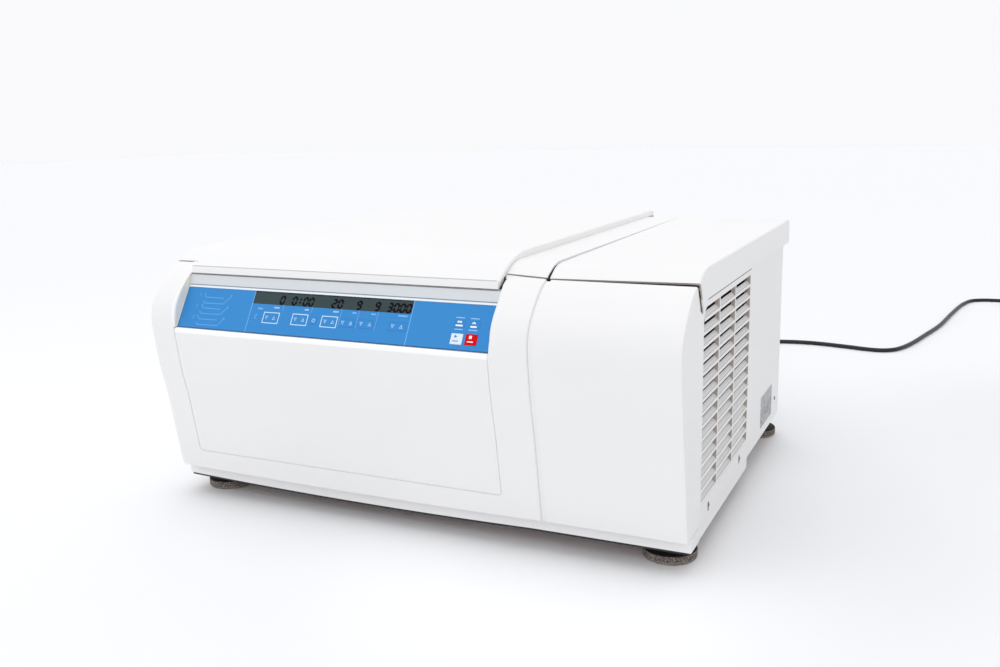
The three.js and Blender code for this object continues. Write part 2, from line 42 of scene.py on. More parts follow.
# ------------------------------------------------------------------ dimensions
HALF_W = 373.0
X_SPLIT, X_FRIDGE = 191.8, 192.4
X_WIN = (-328.5, 142.5)
X_COVER = -331.4  # the lower cover's window reaches a little further left than the keypad's
X_LID = (-327.9, 138.0)
Y_SIDE = -249.2
Y_COVER_REAR, Y_BODY_REAR = 300.75, 263.65
Z_DECK, Z_TOP, Z_BEZEL, SKIRT = 351.0, 360.0, 43.6, 314.4
CX, CY = -95.0, 20.0
PIVOT, PZ = 104.0, 234.0
HINGE_Y, HINGE_Z = 318.0, 337.0

FRONT = [(-302.5, 43.6), (-306, 62), (-311.5, 95), (-320, 149), (-330, 196), (-336.2, 243), (-337.25, 258), (-336.6, 270), (-333, 283),
         (-326, 295), (-316.6, 306), (-302.75, 319), (-290, 328.2), (-281, 332.8), (-273.6, 335.6)]
DECK = [(-273.3, 336.0), (-269.75, 338.9), (-263.25, 342.3), (-254.75, 346.6), (-246, 349.2), (-236, 350.6), (-224.75, 351.0)]
LID = [(-289.75, 333.2), (-279.75, 339.6), (-266.75, 347.2), (-252, 353.2), (-236, 357.3), (-221.75, 359.3), (-200, 360.0)]


# ---------------------------------------------------------------------- camera
def make_camera():
    yaw, pitch, roll = math.radians(-25.599), math.radians(12.172), math.radians(-1.4346)
    forward = Vector((math.sin(yaw) * math.cos(pitch), math.cos(yaw) * math.cos(pitch), -math.sin(pitch)))
    right = Vector((math.cos(yaw), -math.sin(yaw), 0.0))
    up = right.cross(forward)
    r = right * math.cos(roll) + up * math.sin(roll)
    u = -right * math.sin(roll) + up * math.cos(roll)
    data = bpy.data.cameras.new("camera")
    data.sensor_width, data.lens = 36.0, 35.583
    data.clip_start, data.clip_end = 0.01, 100.0
    cam = bpy.data.objects.new("camera", data)
    m = Matrix((r, u, -forward)).transposed().to_4x4()
    m.translation = Vector((0.63471, -1.32992, 0.51746))
    cam.matrix_world = m
    bpy.context.scene.collection.objects.link(cam)
    bpy.context.scene.camera = cam


make_camera()


# ------------------------------------------------------------------- materials
def node(nt, kind, **inputs):
    n = nt.nodes.new(kind)
    for k, v in inputs.items():
        n.inputs[k.replace("_", " ")].default_value = v
    return n


def finish(name, rgb, rough=0.45, metal=0.0, grain=1500.0, grain_bump=0.05, cloud=0.03, cloud_scale=9.0, rough_var=0.06,
           stretch=(1.0, 1.0, 1.0), specks=None, coat=0.0, ior=1.46, sheen=0.0, orange=None, specular=0.5):
    """A procedural finish: base colour with slow clouding and optional specks, grain in bump, roughness varied by the
    grain on metals and by the clouding on the rest.
    """
    m = bpy.data.materials.new(name)
    m.use_nodes = True
    nt = m.node_tree
    bsdf = nt.nodes["Principled BSDF"]
    bsdf.inputs["Metallic"].default_value = metal
    bsdf.inputs["IOR"].default_value = ior
    bsdf.inputs["Specular IOR Level"].default_value = specular
    bsdf.inputs["Coat Weight"].default_value = coat
    if coat:
        bsdf.inputs["Coat Roughness"].default_value = 0.12
    if sheen:
        bsdf.inputs["Sheen Weight"].default_value = sheen
    where = nt.nodes.new("ShaderNodeTexCoord")
    mapping = nt.nodes.new("ShaderNodeMapping")
    mapping.inputs["Scale"].default_value = stretch
    nt.links.new(where.outputs["Object"], mapping.inputs["Vector"])
    slow = node(nt, "ShaderNodeTexNoise", Scale=cloud_scale, Detail=4.0, Roughness=0.6)
    nt.links.new(mapping.outputs["Vector"], slow.inputs["Vector"])
    ramp = nt.nodes.new("ShaderNodeValToRGB")
    ramp.color_ramp.elements[0].position, ramp.color_ramp.elements[1].position = 0.3, 0.7
    lo = [max(0.0, c * (1 - cloud)) for c in rgb]
    hi = [min(1.0, c * (1 + cloud * 0.6)) for c in rgb]
    ramp.color_ramp.elements[0].color = (*lo, 1)
    ramp.color_ramp.elements[1].color = (*hi, 1)
    nt.links.new(slow.outputs["Fac"], ramp.inputs["Fac"])
    colour = ramp.outputs["Color"]
    fine = node(nt, "ShaderNodeTexNoise", Scale=grain, Detail=3.0, Roughness=0.55)
    nt.links.new(mapping.outputs["Vector"], fine.inputs["Vector"])
    if specks:
        speck_rgb, speck_scale, amount = specks
        dots = node(nt, "ShaderNodeTexNoise", Scale=speck_scale, Detail=2.0, Roughness=0.7)
        nt.links.new(where.outputs["Object"], dots.inputs["Vector"])
        edge = nt.nodes.new("ShaderNodeMapRange")
        edge.inputs["From Min"].default_value, edge.inputs["From Max"].default_value = amount, amount + 0.08
        nt.links.new(dots.outputs["Fac"], edge.inputs["Value"])
        mix = nt.nodes.new("ShaderNodeMix")
        mix.data_type = "RGBA"
        nt.links.new(edge.outputs["Result"], mix.inputs[0])
        nt.links.new(colour, mix.inputs[6])
        mix.inputs[7].default_value = (*speck_rgb, 1)
        colour = mix.outputs[2]
    nt.links.new(colour, bsdf.inputs["Base Color"])
    span = nt.nodes.new("ShaderNodeMapRange")
    span.inputs["To Min"].default_value = max(0.02, rough - rough_var)
    span.inputs["To Max"].default_value = min(1.0, rough + rough_var)
    nt.links.new((fine if metal else slow).outputs["Fac"], span.inputs["Value"])
    nt.links.new(span.outputs["Result"], bsdf.inputs["Roughness"])
    bump = node(nt, "ShaderNodeBump", Strength=1.0, Distance=grain_bump * MM)
    nt.links.new(fine.outputs["Fac"], bump.inputs["Height"])
    nt.links.new(bump.outputs["Normal"], bsdf.inputs["Normal"])
    if orange:
        scale, depth = orange
        peel = node(nt, "ShaderNodeTexNoise", Scale=scale, Detail=1.0)
        nt.links.new(where.outputs["Object"], peel.inputs["Vector"])
        second = node(nt, "ShaderNodeBump", Strength=1.0, Distance=depth * MM)
        nt.links.new(peel.outputs["Fac"], second.inputs["Height"])
        nt.links.new(bump.outputs["Normal"], second.inputs["Normal"])
        nt.links.new(second.outputs["Normal"], bsdf.inputs["Normal"])
    m.diffuse_color = (*rgb, 1)
    return m


MATERIAL = {
    "white_plastic": finish("white_plastic", (0.868, 0.868, 0.866), 0.44, grain=2600, grain_bump=0.006, cloud=0.012, cloud_scale=5, orange=(420, 0.006)),
    "white_paint": finish("white_paint", (0.855, 0.855, 0.855), 0.42, grain=1500, grain_bump=0.008, cloud=0.015, cloud_scale=5, orange=(320, 0.01)),
    "grille": finish("grille_plastic", (0.80, 0.788, 0.765), 0.5, grain=2400, grain_bump=0.008, cloud=0.03, cloud_scale=14),
    "grey_plastic": finish("grey_plastic", (0.72, 0.74, 0.765), 0.42, grain=2600, grain_bump=0.006, cloud=0.02),
    "silver": finish("silver_strip", (0.65, 0.685, 0.715), 0.38, metal=0.12, grain=900, grain_bump=0.003, cloud=0.03, stretch=(0.03, 1, 1)),
    "blue_film": finish("blue_film", (0.038, 0.252, 0.615), 0.42, grain=3000, grain_bump=0.006, cloud=0.02, cloud_scale=6, specular=0.18),
    "print_white": finish("print_white", (0.93, 0.95, 0.98), 0.45, grain=3000, grain_bump=0.002, cloud=0.03, cloud_scale=300),
    "print_cyan": finish("print_cyan", (0.58, 0.80, 1.0), 0.45, grain=3000, grain_bump=0.002, cloud=0.03, cloud_scale=300),
    "print_mid": finish("print_mid", (0.30, 0.55, 0.95), 0.45, grain=3000, grain_bump=0.002, cloud=0.04, cloud_scale=300),
    "print_pale": finish("print_pale", (0.17, 0.46, 0.88), 0.45, grain=3000, grain_bump=0.002, cloud=0.05, cloud_scale=300),
    "print_blue": finish("print_blue", (0.05, 0.16, 0.42), 0.45, grain=3000, grain_bump=0.002, cloud=0.05, cloud_scale=300),
    "print_grey": finish("print_grey", (0.36, 0.40, 0.46), 0.45, grain=3000, grain_bump=0.002, cloud=0.05, cloud_scale=300),
    "key_white": finish("key_white", (0.70, 0.83, 0.96), 0.4, grain=3000, grain_bump=0.006, cloud=0.015),
    "key_red": finish("key_red", (0.71, 0.002, 0.004), 0.4, grain=3000, grain_bump=0.006, cloud=0.02, specular=0.06),
    "lcd": finish("display_glass", (0.042, 0.065, 0.068), 0.3, grain=300, grain_bump=0.0004, cloud=0.10, cloud_scale=14, specular=0.12),
    "digit": finish("display_digit", (0.006, 0.004, 0.009), 0.3, grain=900, grain_bump=0.001, cloud=0.05, cloud_scale=60, specular=0.05),
    "dark_plastic": finish("dark_plastic", (0.022, 0.022, 0.024), 0.5, grain=2000, grain_bump=0.015, cloud=0.05),
    "rubber_foot": finish("foot_rubber", (0.115, 0.092, 0.080), 0.9, grain=700, grain_bump=0.25, cloud=0.3, cloud_scale=160, specks=((0.42, 0.37, 0.33), 620, 0.53)),
    # near black for the feet's top faces: painted shade under the pan
    "foot_top_shade": finish("foot_top_shade", (0.012, 0.010, 0.010), 0.85, grain=700, grain_bump=0.2, cloud=0.3, cloud_scale=120),
    "foot_low": finish("foot_low", (0.27, 0.245, 0.225), 0.9, grain=700, grain_bump=0.2, cloud=0.25, cloud_scale=160, specks=((0.10, 0.08, 0.07), 700, 0.55)),
    # dark brown for the pan's underside: painted shade deepening the shadow on the floor beneath
    "pan_under_shade": finish("pan_under_shade", (0.46, 0.36, 0.34), 0.8, grain=900, grain_bump=0.02, cloud=0.2, cloud_scale=20),
    # a lighter white than the paint for the pan's front band: painted light
    "pan_front": finish("pan_front", (0.93, 0.93, 0.93), 0.42, grain=1500, grain_bump=0.008, cloud=0.015, cloud_scale=5, orange=(320, 0.01)),
    "rib_white": finish("rib_white", (0.86, 0.92, 0.985), 0.4, grain=2400, grain_bump=0.004, cloud=0.02),
    # darker beige for the slats' sloped faces: painted shade inside the louvres
    "slat": finish("slat_shaded_plastic", (0.63, 0.612, 0.588), 0.5, grain=2400, grain_bump=0.008, cloud=0.05, cloud_scale=14),
    # darker warm grey for the louvre cells' inner walls: painted shade in the recesses
    "cell_wall_shade": finish("cell_wall_shade", (0.55, 0.485, 0.435), 0.55, grain=2400, grain_bump=0.008, cloud=0.06, cloud_scale=14),
    # black rubber for the bowl's gasket; also painted shade in the cover's slits and under the pan's front edge
    "seal": finish("seal_rubber_and_shadow_black", (0.018, 0.018, 0.020), 0.62, grain=1200, grain_bump=0.02, cloud=0.06, sheen=0.2),
    "cord": finish("cord_black", (0.010, 0.010, 0.012), 0.42, grain=1400, grain_bump=0.02, cloud=0.08, cloud_scale=30),
    "steel": finish("stainless_steel", (0.60, 0.61, 0.62), 0.24, metal=1.0, grain=60, grain_bump=0.006, cloud=0.05, rough_var=0.07, stretch=(1, 1, 36)),
    "steel_flat": finish("zinc_steel", (0.56, 0.57, 0.58), 0.34, metal=1.0, grain=500, grain_bump=0.01, cloud=0.1, rough_var=0.08),
    "alloy": finish("cast_alloy", (0.46, 0.475, 0.50), 0.42, metal=0.9, grain=1500, grain_bump=0.02, cloud=0.08, cloud_scale=30),
    "anodised": finish("anodised_alloy", (0.30, 0.315, 0.335), 0.33, metal=0.85, grain=2400, grain_bump=0.006, cloud=0.06, cloud_scale=25),
    "copper": finish("copper_pipe", (0.72, 0.33, 0.20), 0.3, metal=1.0, grain=500, grain_bump=0.01, cloud=0.2, cloud_scale=30),
    "foam": finish("insulation_foam", (0.70, 0.62, 0.42), 0.92, grain=420, grain_bump=0.5, cloud=0.12, cloud_scale=60, specks=((0.5, 0.42, 0.26), 500, 0.6)),
    "enamel": finish("black_enamel", (0.014, 0.014, 0.016), 0.28, grain=600, grain_bump=0.01, cloud=0.1, coat=0.4),
    "board": finish("circuit_board", (0.018, 0.115, 0.05), 0.4, grain=900, grain_bump=0.02, cloud=0.2, cloud_scale=90, specks=((0.5, 0.42, 0.15), 260, 0.62)),
    "screw": finish("screw_steel", (0.22, 0.22, 0.23), 0.4, metal=0.9, grain=900, grain_bump=0.01, cloud=0.1, cloud_scale=200),
    "plate": finish("rating_plate", (0.40, 0.41, 0.42), 0.4, metal=0.25, grain=700, grain_bump=0.01, cloud=0.35, cloud_scale=60, stretch=(1, 0.35, 1.6), specks=((0.13, 0.13, 0.14), 130, 0.56)),
    # warm grey for the block in the cover's side slit: painted shade
    "slit_shade_grey": finish("slit_shade_grey", (0.60, 0.525, 0.475), 0.55, grain=2400, grain_bump=0.01, cloud=0.05, cloud_scale=20),
    "dark_fins": finish("dark_fins", (0.010, 0.009, 0.009), 0.7, grain=900, grain_bump=0.02, cloud=0.2, cloud_scale=60, specular=0.15),
    # a lighter white for the lid's right side: painted highlight
    "lid_side_highlight": finish("lid_side_highlight", (0.965, 0.965, 0.96), 0.44, grain=2600, grain_bump=0.006, cloud=0.012, cloud_scale=5),
    # warm tint for the walls beside the sunken keypad: painted shade and bounce light
    "window_wall_shade_tint": finish("window_wall_shade_tint", (0.99, 0.94, 0.80), 0.55, grain=2400, grain_bump=0.01, cloud=0.05, cloud_scale=20),
    # brighter white for bends and rounded edges: painted highlight
    "highlight_white": finish("highlight_white", (0.99, 0.99, 0.99), 0.40, grain=2400, grain_bump=0.004, cloud=0.01),
    # dark band under the lid's front lip: painted shadow
    "strip_seat_shadow": finish("strip_seat_shadow", (0.21, 0.20, 0.195), 0.6, grain=1600, grain_bump=0.01, cloud=0.08),
    "line_grey": finish("line_grey", (0.20, 0.23, 0.26), 0.5, grain=2400, grain_bump=0.004, cloud=0.04),
    # darker grey for the lid's nose crease: painted shade
    "crease_shade": finish("crease_grey", (0.52, 0.52, 0.515), 0.5, grain=2600, grain_bump=0.006, cloud=0.02),
    # darker beige for the covers' forward and downward facing end faces: painted shade
    "end_face_shade": finish("end_face_shade", (0.50, 0.455, 0.42), 0.55, grain=2600, grain_bump=0.006, cloud=0.03),
    # dark grey for the screw slots, and for the painted shadow line under the skirt
    "reveal": finish("slot_and_shadow_grey", (0.15, 0.142, 0.138), 0.6, grain=1600, grain_bump=0.01, cloud=0.08),
    "print_label": finish("print_label", (0.34, 0.60, 0.95), 0.45, grain=3000, grain_bump=0.002, cloud=0.25, cloud_scale=900),
    "print_dim": finish("print_dim", (0.10, 0.37, 0.84), 0.45, grain=3000, grain_bump=0.002, cloud=0.05, cloud_scale=300),
    # dark blue border round the keypad film: painted shadow of its recess
    "film_edge_shadow": finish("film_edge_shadow", (0.012, 0.075, 0.21), 0.5, grain=2000, grain_bump=0.002, cloud=0.05, cloud_scale=60),
}


# ------------------------------------------------------------- building pieces
def smooth_line(points, step=4.0):
    """Points every few millimetres on a Catmull-Rom curve through 2D points."""
    out = []
    n = len(points)
    for i in range(n - 1):
        p0 = points[max(i - 1, 0)]
        p1, p2 = points[i], points[i + 1]
        p3 = points[min(i + 2, n - 1)]
        k = max(1, int(math.ceil(math.dist(p1, p2) / step)))
        for j in range(k):
            t = j / k
            out.append(tuple(0.5 * ((2 * p1[a]) + (-p0[a] + p2[a]) * t + (2 * p0[a] - 5 * p1[a] + 4 * p2[a] - p3[a]) * t * t
                                    + (-p0[a] + 3 * p1[a] - 3 * p2[a] + p3[a]) * t ** 3) for a in (0, 1)))
    out.append(tuple(points[-1]))
    return out


def arc(cx, cy, r, a0, a1, n):
    return [(cx + r * math.cos(math.radians(a0 + (a1 - a0) * i / n)), cy + r * math.sin(math.radians(a0 + (a1 - a0) * i / n))) for i in range(n + 1)]


def shifted(line, d):
    out = []
    for i, p in enumerate(line):
        a, b = line[max(i - 1, 0)], line[min(i + 1, len(line) - 1)]
        l = math.dist(a, b) or 1.0
        out.append((p[0] - (b[1] - a[1]) / l * d, p[1] + (b[0] - a[0]) / l * d))
    return out


def obj_from(name, bm, material, smooth=True):
    bmesh.ops.remove_doubles(bm, verts=bm.verts, dist=2e-6)
    bmesh.ops.recalc_face_normals(bm, faces=bm.faces)
    me = bpy.data.meshes.new(name)
    bm.to_mesh(me)
    bm.free()
    for p in me.polygons:
        p.use_smooth = smooth
    o = bpy.data.objects.new(name, me)
    bpy.context.scene.collection.objects.link(o)
    if material:
        me.materials.append(MATERIAL[material])
    return o


def loop_prism(bm, loop, place0, place1):
    """A closed prism between two placings of a 2D loop."""
    a = [bm.verts.new(Vector(place0(p)) * MM) for p in loop]
    b = [bm.verts.new(Vector(place1(p)) * MM) for p in loop]
    n = len(loop)
    for i in range(n):
        bm.faces.new((a[i], a[(i + 1) % n], b[(i + 1) % n], b[i]))
    bm.faces.new(a[::-1])
    bm.faces.new(b)
    return a, b


def prism_x(bm, yz, x0, x1):
    return loop_prism(bm, yz, lambda p: (x0, p[0], p[1]), lambda p: (x1, p[0], p[1]))


def prism_y(bm, xz, y0, y1):
    return loop_prism(bm, xz, lambda p: (p[0], y0, p[1]), lambda p: (p[0], y1, p[1]))


def prism_z(bm, xy, z0, z1):
    return loop_prism(bm, xy, lambda p: (p[0], p[1], z0), lambda p: (p[0], p[1], z1))


def rect(a0, a1, b0, b1):
    return [(a0, b0), (a1, b0), (a1, b1), (a0, b1)]


def round_rect(a0, a1, b0, b1, r, n=4):
    r = min(r, (a1 - a0) / 2 - 1e-3, (b1 - b0) / 2 - 1e-3)
    return (arc(a1 - r, b1 - r, r, 0, 90, n) + arc(a0 + r, b1 - r, r, 90, 180, n)
            + arc(a0 + r, b0 + r, r, 180, 270, n) + arc(a1 - r, b0 + r, r, 270, 360, n))


def block(bm, x0, x1, y0, y1, z0, z1):
    return prism_z(bm, rect(x0, x1, y0, y1), z0, z1)


def lathe(bm, rz, segs, place):
    """Turns a closed or axis-to-axis (radius, height) profile; place maps (x, y, height) to millimetres."""
    rings = []
    for r, z in rz:
        if r < 1e-6:
            rings.append([bm.verts.new(Vector(place((0, 0, z))) * MM)])
        else:
            rings.append([bm.verts.new(Vector(place((r * math.cos(2 * math.pi * i / segs), r * math.sin(2 * math.pi * i / segs), z))) * MM) for i in range(segs)])
    closed = rz[0][0] > 1e-6 or rz[-1][0] > 1e-6
    pairs = list(zip(rings, rings[1:] + (rings[:1] if closed else [])))
    if not closed:
        pairs = pairs[: len(rings) - 1]
    for a, b in pairs:
        for i in range(segs):
            j = (i + 1) % segs
            if len(a) == 1 and len(b) == 1:
                continue
            if len(a) == 1:
                bm.faces.new((a[0], b[j], b[i]))
            elif len(b) == 1:
                bm.faces.new((a[i], a[j], b[0]))
            else:
                bm.faces.new((a[i], a[j], b[j], b[i]))


def round_profile(rz, radii, n=4, closed=False):
    """Rounds the corners of a profile. radii is one radius for all corners or one for each."""
    m = len(rz)
    if not isinstance(radii, (list, tuple)):
        radii = [radii] * m
    out = []
    for i, p in enumerate(rz):
        if (not closed and i in (0, m - 1)) or radii[i] <= 0:
            out.append(tuple(p))
            continue
        a, b = rz[(i - 1) % m], rz[(i + 1) % m]
        la, lb = math.dist(a, p), math.dist(b, p)
        if min(la, lb) < 1e-6:
            out.append(tuple(p))
            continue
        ua = ((a[0] - p[0]) / la, (a[1] - p[1]) / la)
        ub = ((b[0] - p[0]) / lb, (b[1] - p[1]) / lb)
        cosine = max(-1.0, min(1.0, ua[0] * ub[0] + ua[1] * ub[1]))
        half = math.acos(cosine) / 2
        if half > math.radians(85):
            out.append(tuple(p))
            continue
        d = min(radii[i] / math.tan(half), 0.45 * la, 0.45 * lb)
        s, e = (p[0] + ua[0] * d, p[1] + ua[1] * d), (p[0] + ub[0] * d, p[1] + ub[1] * d)
        for k in range(n + 1):
            t = k / n
            out.append(tuple((1 - t) ** 2 * s[c] + 2 * t * (1 - t) * p[c] + t * t * e[c] for c in (0, 1)))
    return out


def about_z(cx, cy):
    return lambda p: (cx + p[0], cy + p[1], p[2])


def about_y(x, z):
    return lambda p: (x + p[0], p[2], z + p[1])


def about_x(y, z):
    return lambda p: (p[2], y + p[0], z + p[1])


def mesh(build):
    bm = bmesh.new()
    build(bm)
    return bm


def boolean(target, cutters, operation="DIFFERENCE"):
    """Joins or cuts target with other objects, which are removed."""
    for c in cutters if isinstance(cutters, (list, tuple)) else [cutters]:
        mod = target.modifiers.new("cut", "BOOLEAN")
        mod.operation, mod.solver, mod.object = operation, "EXACT", c
        if hasattr(mod, "use_self"):
            mod.use_self = True
        dg = bpy.context.evaluated_depsgraph_get()
        dg.update()
        me = bpy.data.meshes.new_from_object(target.evaluated_get(dg))
        target.modifiers.clear()
        old = target.data
        target.data = me
        bpy.data.meshes.remove(old)
        bpy.data.objects.remove(c)
    return target


def tidy(o, angle=0.35):
    """Merges what a cut left split: doubled points and faces in one plane."""
    bm = bmesh.new()
    bm.from_mesh(o.data)
    bmesh.ops.remove_doubles(bm, verts=bm.verts, dist=3e-6)
    bmesh.ops.dissolve_limit(bm, angle_limit=math.radians(angle), use_dissolve_boundaries=False, verts=bm.verts, edges=bm.edges)
    bmesh.ops.dissolve_degenerate(bm, dist=1e-6, edges=bm.edges)
    bmesh.ops.recalc_face_normals(bm, faces=bm.faces)
    bm.to_mesh(o.data)
    bm.free()
    for p in o.data.polygons:
        p.use_smooth = True
    return o


def soften(o, width=0.6, segments=2, angle=28.0):
    """Rounds the hard edges a little, as moulded or folded parts have, and keeps flat faces flat."""
    b = o.modifiers.new("edges", "BEVEL")
    b.width, b.segments, b.limit_method, b.angle_limit = width * MM, segments, "ANGLE", math.radians(angle)
    b.use_clamp_overlap = True
    b.miter_outer = "MITER_ARC"
    w = o.modifiers.new("normals", "WEIGHTED_NORMAL")
    w.keep_sharp = True
    w.weight = 80
    return o


def sharp_by_angle(o, degrees=32.0):
    for p in o.data.polygons:
        p.use_smooth = True
    o.data.set_sharp_from_angle(angle=math.radians(degrees))
    return o


def place(o, body="cabinet", replaces=(), slot=None):
    if replaces:
        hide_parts(*replaces)
    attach(o, body)
    return o


def box_cutter(*boxes):
    return obj_from("cutter", mesh(lambda bm: [block(bm, *b) for b in boxes]), None)


def round_chain(o, picked, radius, segments=6):
    """Rounds chosen edges of a solid with a large radius. picked(a, b) says which, from their end points in millimetres."""
    bm = bmesh.new()
    bm.from_mesh(o.data)
    edges = [e for e in bm.edges if picked(e.verts[0].co / MM, e.verts[1].co / MM)]
    bmesh.ops.bevel(bm, geom=edges, offset=radius * MM, offset_type="OFFSET", segments=segments, profile=0.5, affect="EDGES", clamp_overlap=False)
    bmesh.ops.remove_doubles(bm, verts=bm.verts, dist=3e-6)
    bmesh.ops.recalc_face_normals(bm, faces=bm.faces)
    bm.to_mesh(o.data)
    bm.free()
    return o


# ------------------------------------------------------------- cord, coil, plug
CORD = [
    (225, 303, 78), (225, 326, 77.6), (224.6, 345, 72), (223.6, 372, 54), (221.6, 402, 30), (218.6, 434, 12), (214.8, 466, 5.6), (209.5, 505, 4.6),
    (199, 570, 4.6), (187, 640, 4.6), (177, 712, 4.6), (171, 780, 4.6), (171.5, 840, 4.6), (183, 893, 4.6), (210, 929, 4.6), (255, 945, 4.6),
    (301, 954, 4.6), (345, 953, 4.6), (411, 939.5, 4.6), (448, 930, 4.6), (480, 930, 4.6), (506, 950, 4.6), (531, 1012, 4.6), (557, 1121, 4.6), (585, 1251, 4.6),
    (604, 1389, 4.6), (625, 1526, 4.6), (640, 1588, 4.6), (656, 1622, 4.6), (686, 1638, 4.6), (720, 1641, 4.6), (758.5, 1641.6, 4.6),
]
COIL_X, COIL_Y, COIL_R = 790.0, 1593.6, 48.0


def cord_points():
    pts = list(CORD)
    turns, per = 2.25, 16
    n = int(turns * per)
    for i in range(n + 1):
        tau = i / per
        whole, part = int(tau), tau - int(tau)
        k = min(1.0, max(0.0, (part - 0.70) / 0.30))
        z = 4.6 + 8.6 * (whole + k * k * (3 - 2 * k))
        a = math.radians(90) - 2 * math.pi * tau
        pts.append((COIL_X + COIL_R * math.cos(a), COIL_Y + COIL_R * math.sin(a), min(z, 21.8)))
    pts += [(COIL_X + COIL_R, COIL_Y - 14, 21.2), (COIL_X + COIL_R, COIL_Y - 26, 19.8), (COIL_X + COIL_R, COIL_Y - 37, 19.2)]
    return pts


def make_cord():
    pts = [Vector(p) * MM for p in cord_points()]
    curve = bpy.data.curves.new("mains_lead", "CURVE")
    curve.dimensions = "3D"
    curve.resolution_u = 6
    curve.bevel_depth = 0.00425
    curve.bevel_resolution = 5
    curve.use_fill_caps = True
    s = curve.splines.new("BEZIER")
    s.bezier_points.add(len(pts) - 1)
    for i, (b, p) in enumerate(zip(s.bezier_points, pts)):
        before, after = pts[max(i - 1, 0)], pts[min(i + 1, len(pts) - 1)]
        d = (after - before).normalized()
        b.handle_left_type = b.handle_right_type = "FREE"
        b.co = p
        b.handle_left = p - d * (p - before).length / 3
        b.handle_right = p + d * (after - p).length / 3
    curve.materials.append(MATERIAL["cord"])
    o = bpy.data.objects.new("mains_lead", curve)
    bpy.context.scene.collection.objects.link(o)
    place(o, replaces=("mains_cord", "cord_coil"), slot="cord_black")
    return o


cord = make_cord()


def make_plug():
    px, pz, y = COIL_X + COIL_R, 19.2, COIL_Y - 31

    def build(bm):
        body = [(4.3, y - 6), (4.3, y), (5.4, y), (5.7, y - 4), (5.0, y - 5), (6.0, y - 9), (5.3, y - 10), (6.6, y - 14), (6.2, y - 15.5), (9, y - 22),
                (15, y - 30), (17.4, y - 35), (18.8, y - 40), (18.3, y - 42), (18.8, y - 44), (18.3, y - 46), (18.8, y - 48), (18.3, y - 50), (18.8, y - 52),
                (18.8, y - 56), (17.5, y - 58), (0, y - 58)]
        body = [(0, y - 6)] + body
        lathe(bm, round_profile(body, 0.8, 2), 48, about_y(px, pz))
        for dx in (-9.5, 9.5):
            lathe(bm, round_profile([(0, y - 77), (2.4, y - 77), (2.4, y - 50), (0, y - 50)], 1.1, 4), 20, about_y(px + dx, pz))

    o = obj_from("mains_plug_moulding", mesh(build), "cord")
    o.data.materials.append(MATERIAL["steel_flat"])
    for p in o.data.polygons:
        c = p.center / MM
        if c[1] < y - 62 and abs(abs(c[0] - px) - 9.5) < 3:
            p.material_index = 1
    sharp_by_angle(o, 40)
    return place(o, replaces=("mains_plug",), slot="cord_black")


plug = make_plug()


def make_gland():
    x, z = 225.0, 78.0

    def build(bm):
        profile = [(4.6, 262), (12, 262), (12, 264.2), (16.5, 264.2), (16.5, 268.6), (13.2, 271), (9.2, 275)]
        yy, r = 277.0, 8.6
        while yy < 306:  # flexible ribs of the strain relief
            profile += [(r, yy), (r, yy + 1.7), (r - 1.3, yy + 2.0), (r - 1.4, yy + 3.2)]
            yy += 3.6
            r -= 0.32
        profile += [(5.7, 308.4), (5.5, 310), (4.4, 310)]
        lathe(bm, round_profile(profile, 0.5, 2, closed=True), 40, about_y(x, z))
        for k in range(6):  # flats of the gland's nut
            a = math.radians(60 * k)
            prism_y(bm, [(x + 14.4 * math.cos(a + t), z + 14.4 * math.sin(a + t)) for t in (-0.42, 0.42)]
                    + [(x + 10 * math.cos(a + t), z + 10 * math.sin(a + t)) for t in (0.42, -0.42)], 264.4, 268.8)

    o = obj_from("cord_strain_relief", mesh(build), "cord")
    sharp_by_angle(o, 40)
    return place(o, replaces=("cord_gland",), slot="cord_black")


gland = make_gland()


def cord_length():
    pts = [Vector(p) for p in cord_points()]
    total = 0.0
    for i in range(len(pts) - 1):
        a, b = pts[i], pts[i + 1]
        pa, pb = pts[max(i - 1, 0)], pts[min(i + 2, len(pts) - 1)]
        da, db = (b - pa).normalized(), (pb - a).normalized()
        h = (b - a).length / 3
        last = a
        for k in range(1, 9):
            t = k / 8
            q = a * (1 - t) ** 3 + (a + da * h) * 3 * t * (1 - t) ** 2 + (b - db * h) * 3 * t * t * (1 - t) + b * t ** 3
            total += (q - last).length
            last = q
    return total * MM


round(cord_length(), 3)


# -------------------------------------------------------------- the front skins
front = smooth_line(FRONT, 3.0)
SKIN = 3.0


X_SKIN = 371.0
COVER_DROP = 2.6  # the cover sits this much low at its front left corner


def skin_outline():
    return front + [(-256.4, 300.4), (Y_SIDE - 0.8, 298.8), (Y_SIDE - 0.8, Z_BEZEL)]


def hang(o, amount, z_top, y_front):
    """Lets the lower front edge hang a little in the middle of the spinning section."""
    bm = bmesh.new()
    bm.from_mesh(o.data)
    bmesh.ops.bisect_plane(bm, geom=bm.verts[:] + bm.edges[:] + bm.faces[:], dist=1e-7, plane_co=Vector((0, y_front, 0)) * MM, plane_no=(0, 1, 0))
    for k in range(1, 24):
        bmesh.ops.bisect_plane(bm, geom=bm.verts[:] + bm.edges[:] + bm.faces[:], dist=1e-7, plane_co=Vector((-371 + 23.5 * k, 0, 0)) * MM, plane_no=(1, 0, 0))
    for v in bm.verts:
        if v.co.z < z_top * MM and v.co.y < (y_front - 0.1) * MM:
            v.co.z -= amount * MM * max(0.0, 1 - ((v.co.x / MM + 89) / 282) ** 2)
    bm.to_mesh(o.data)
    bm.free()


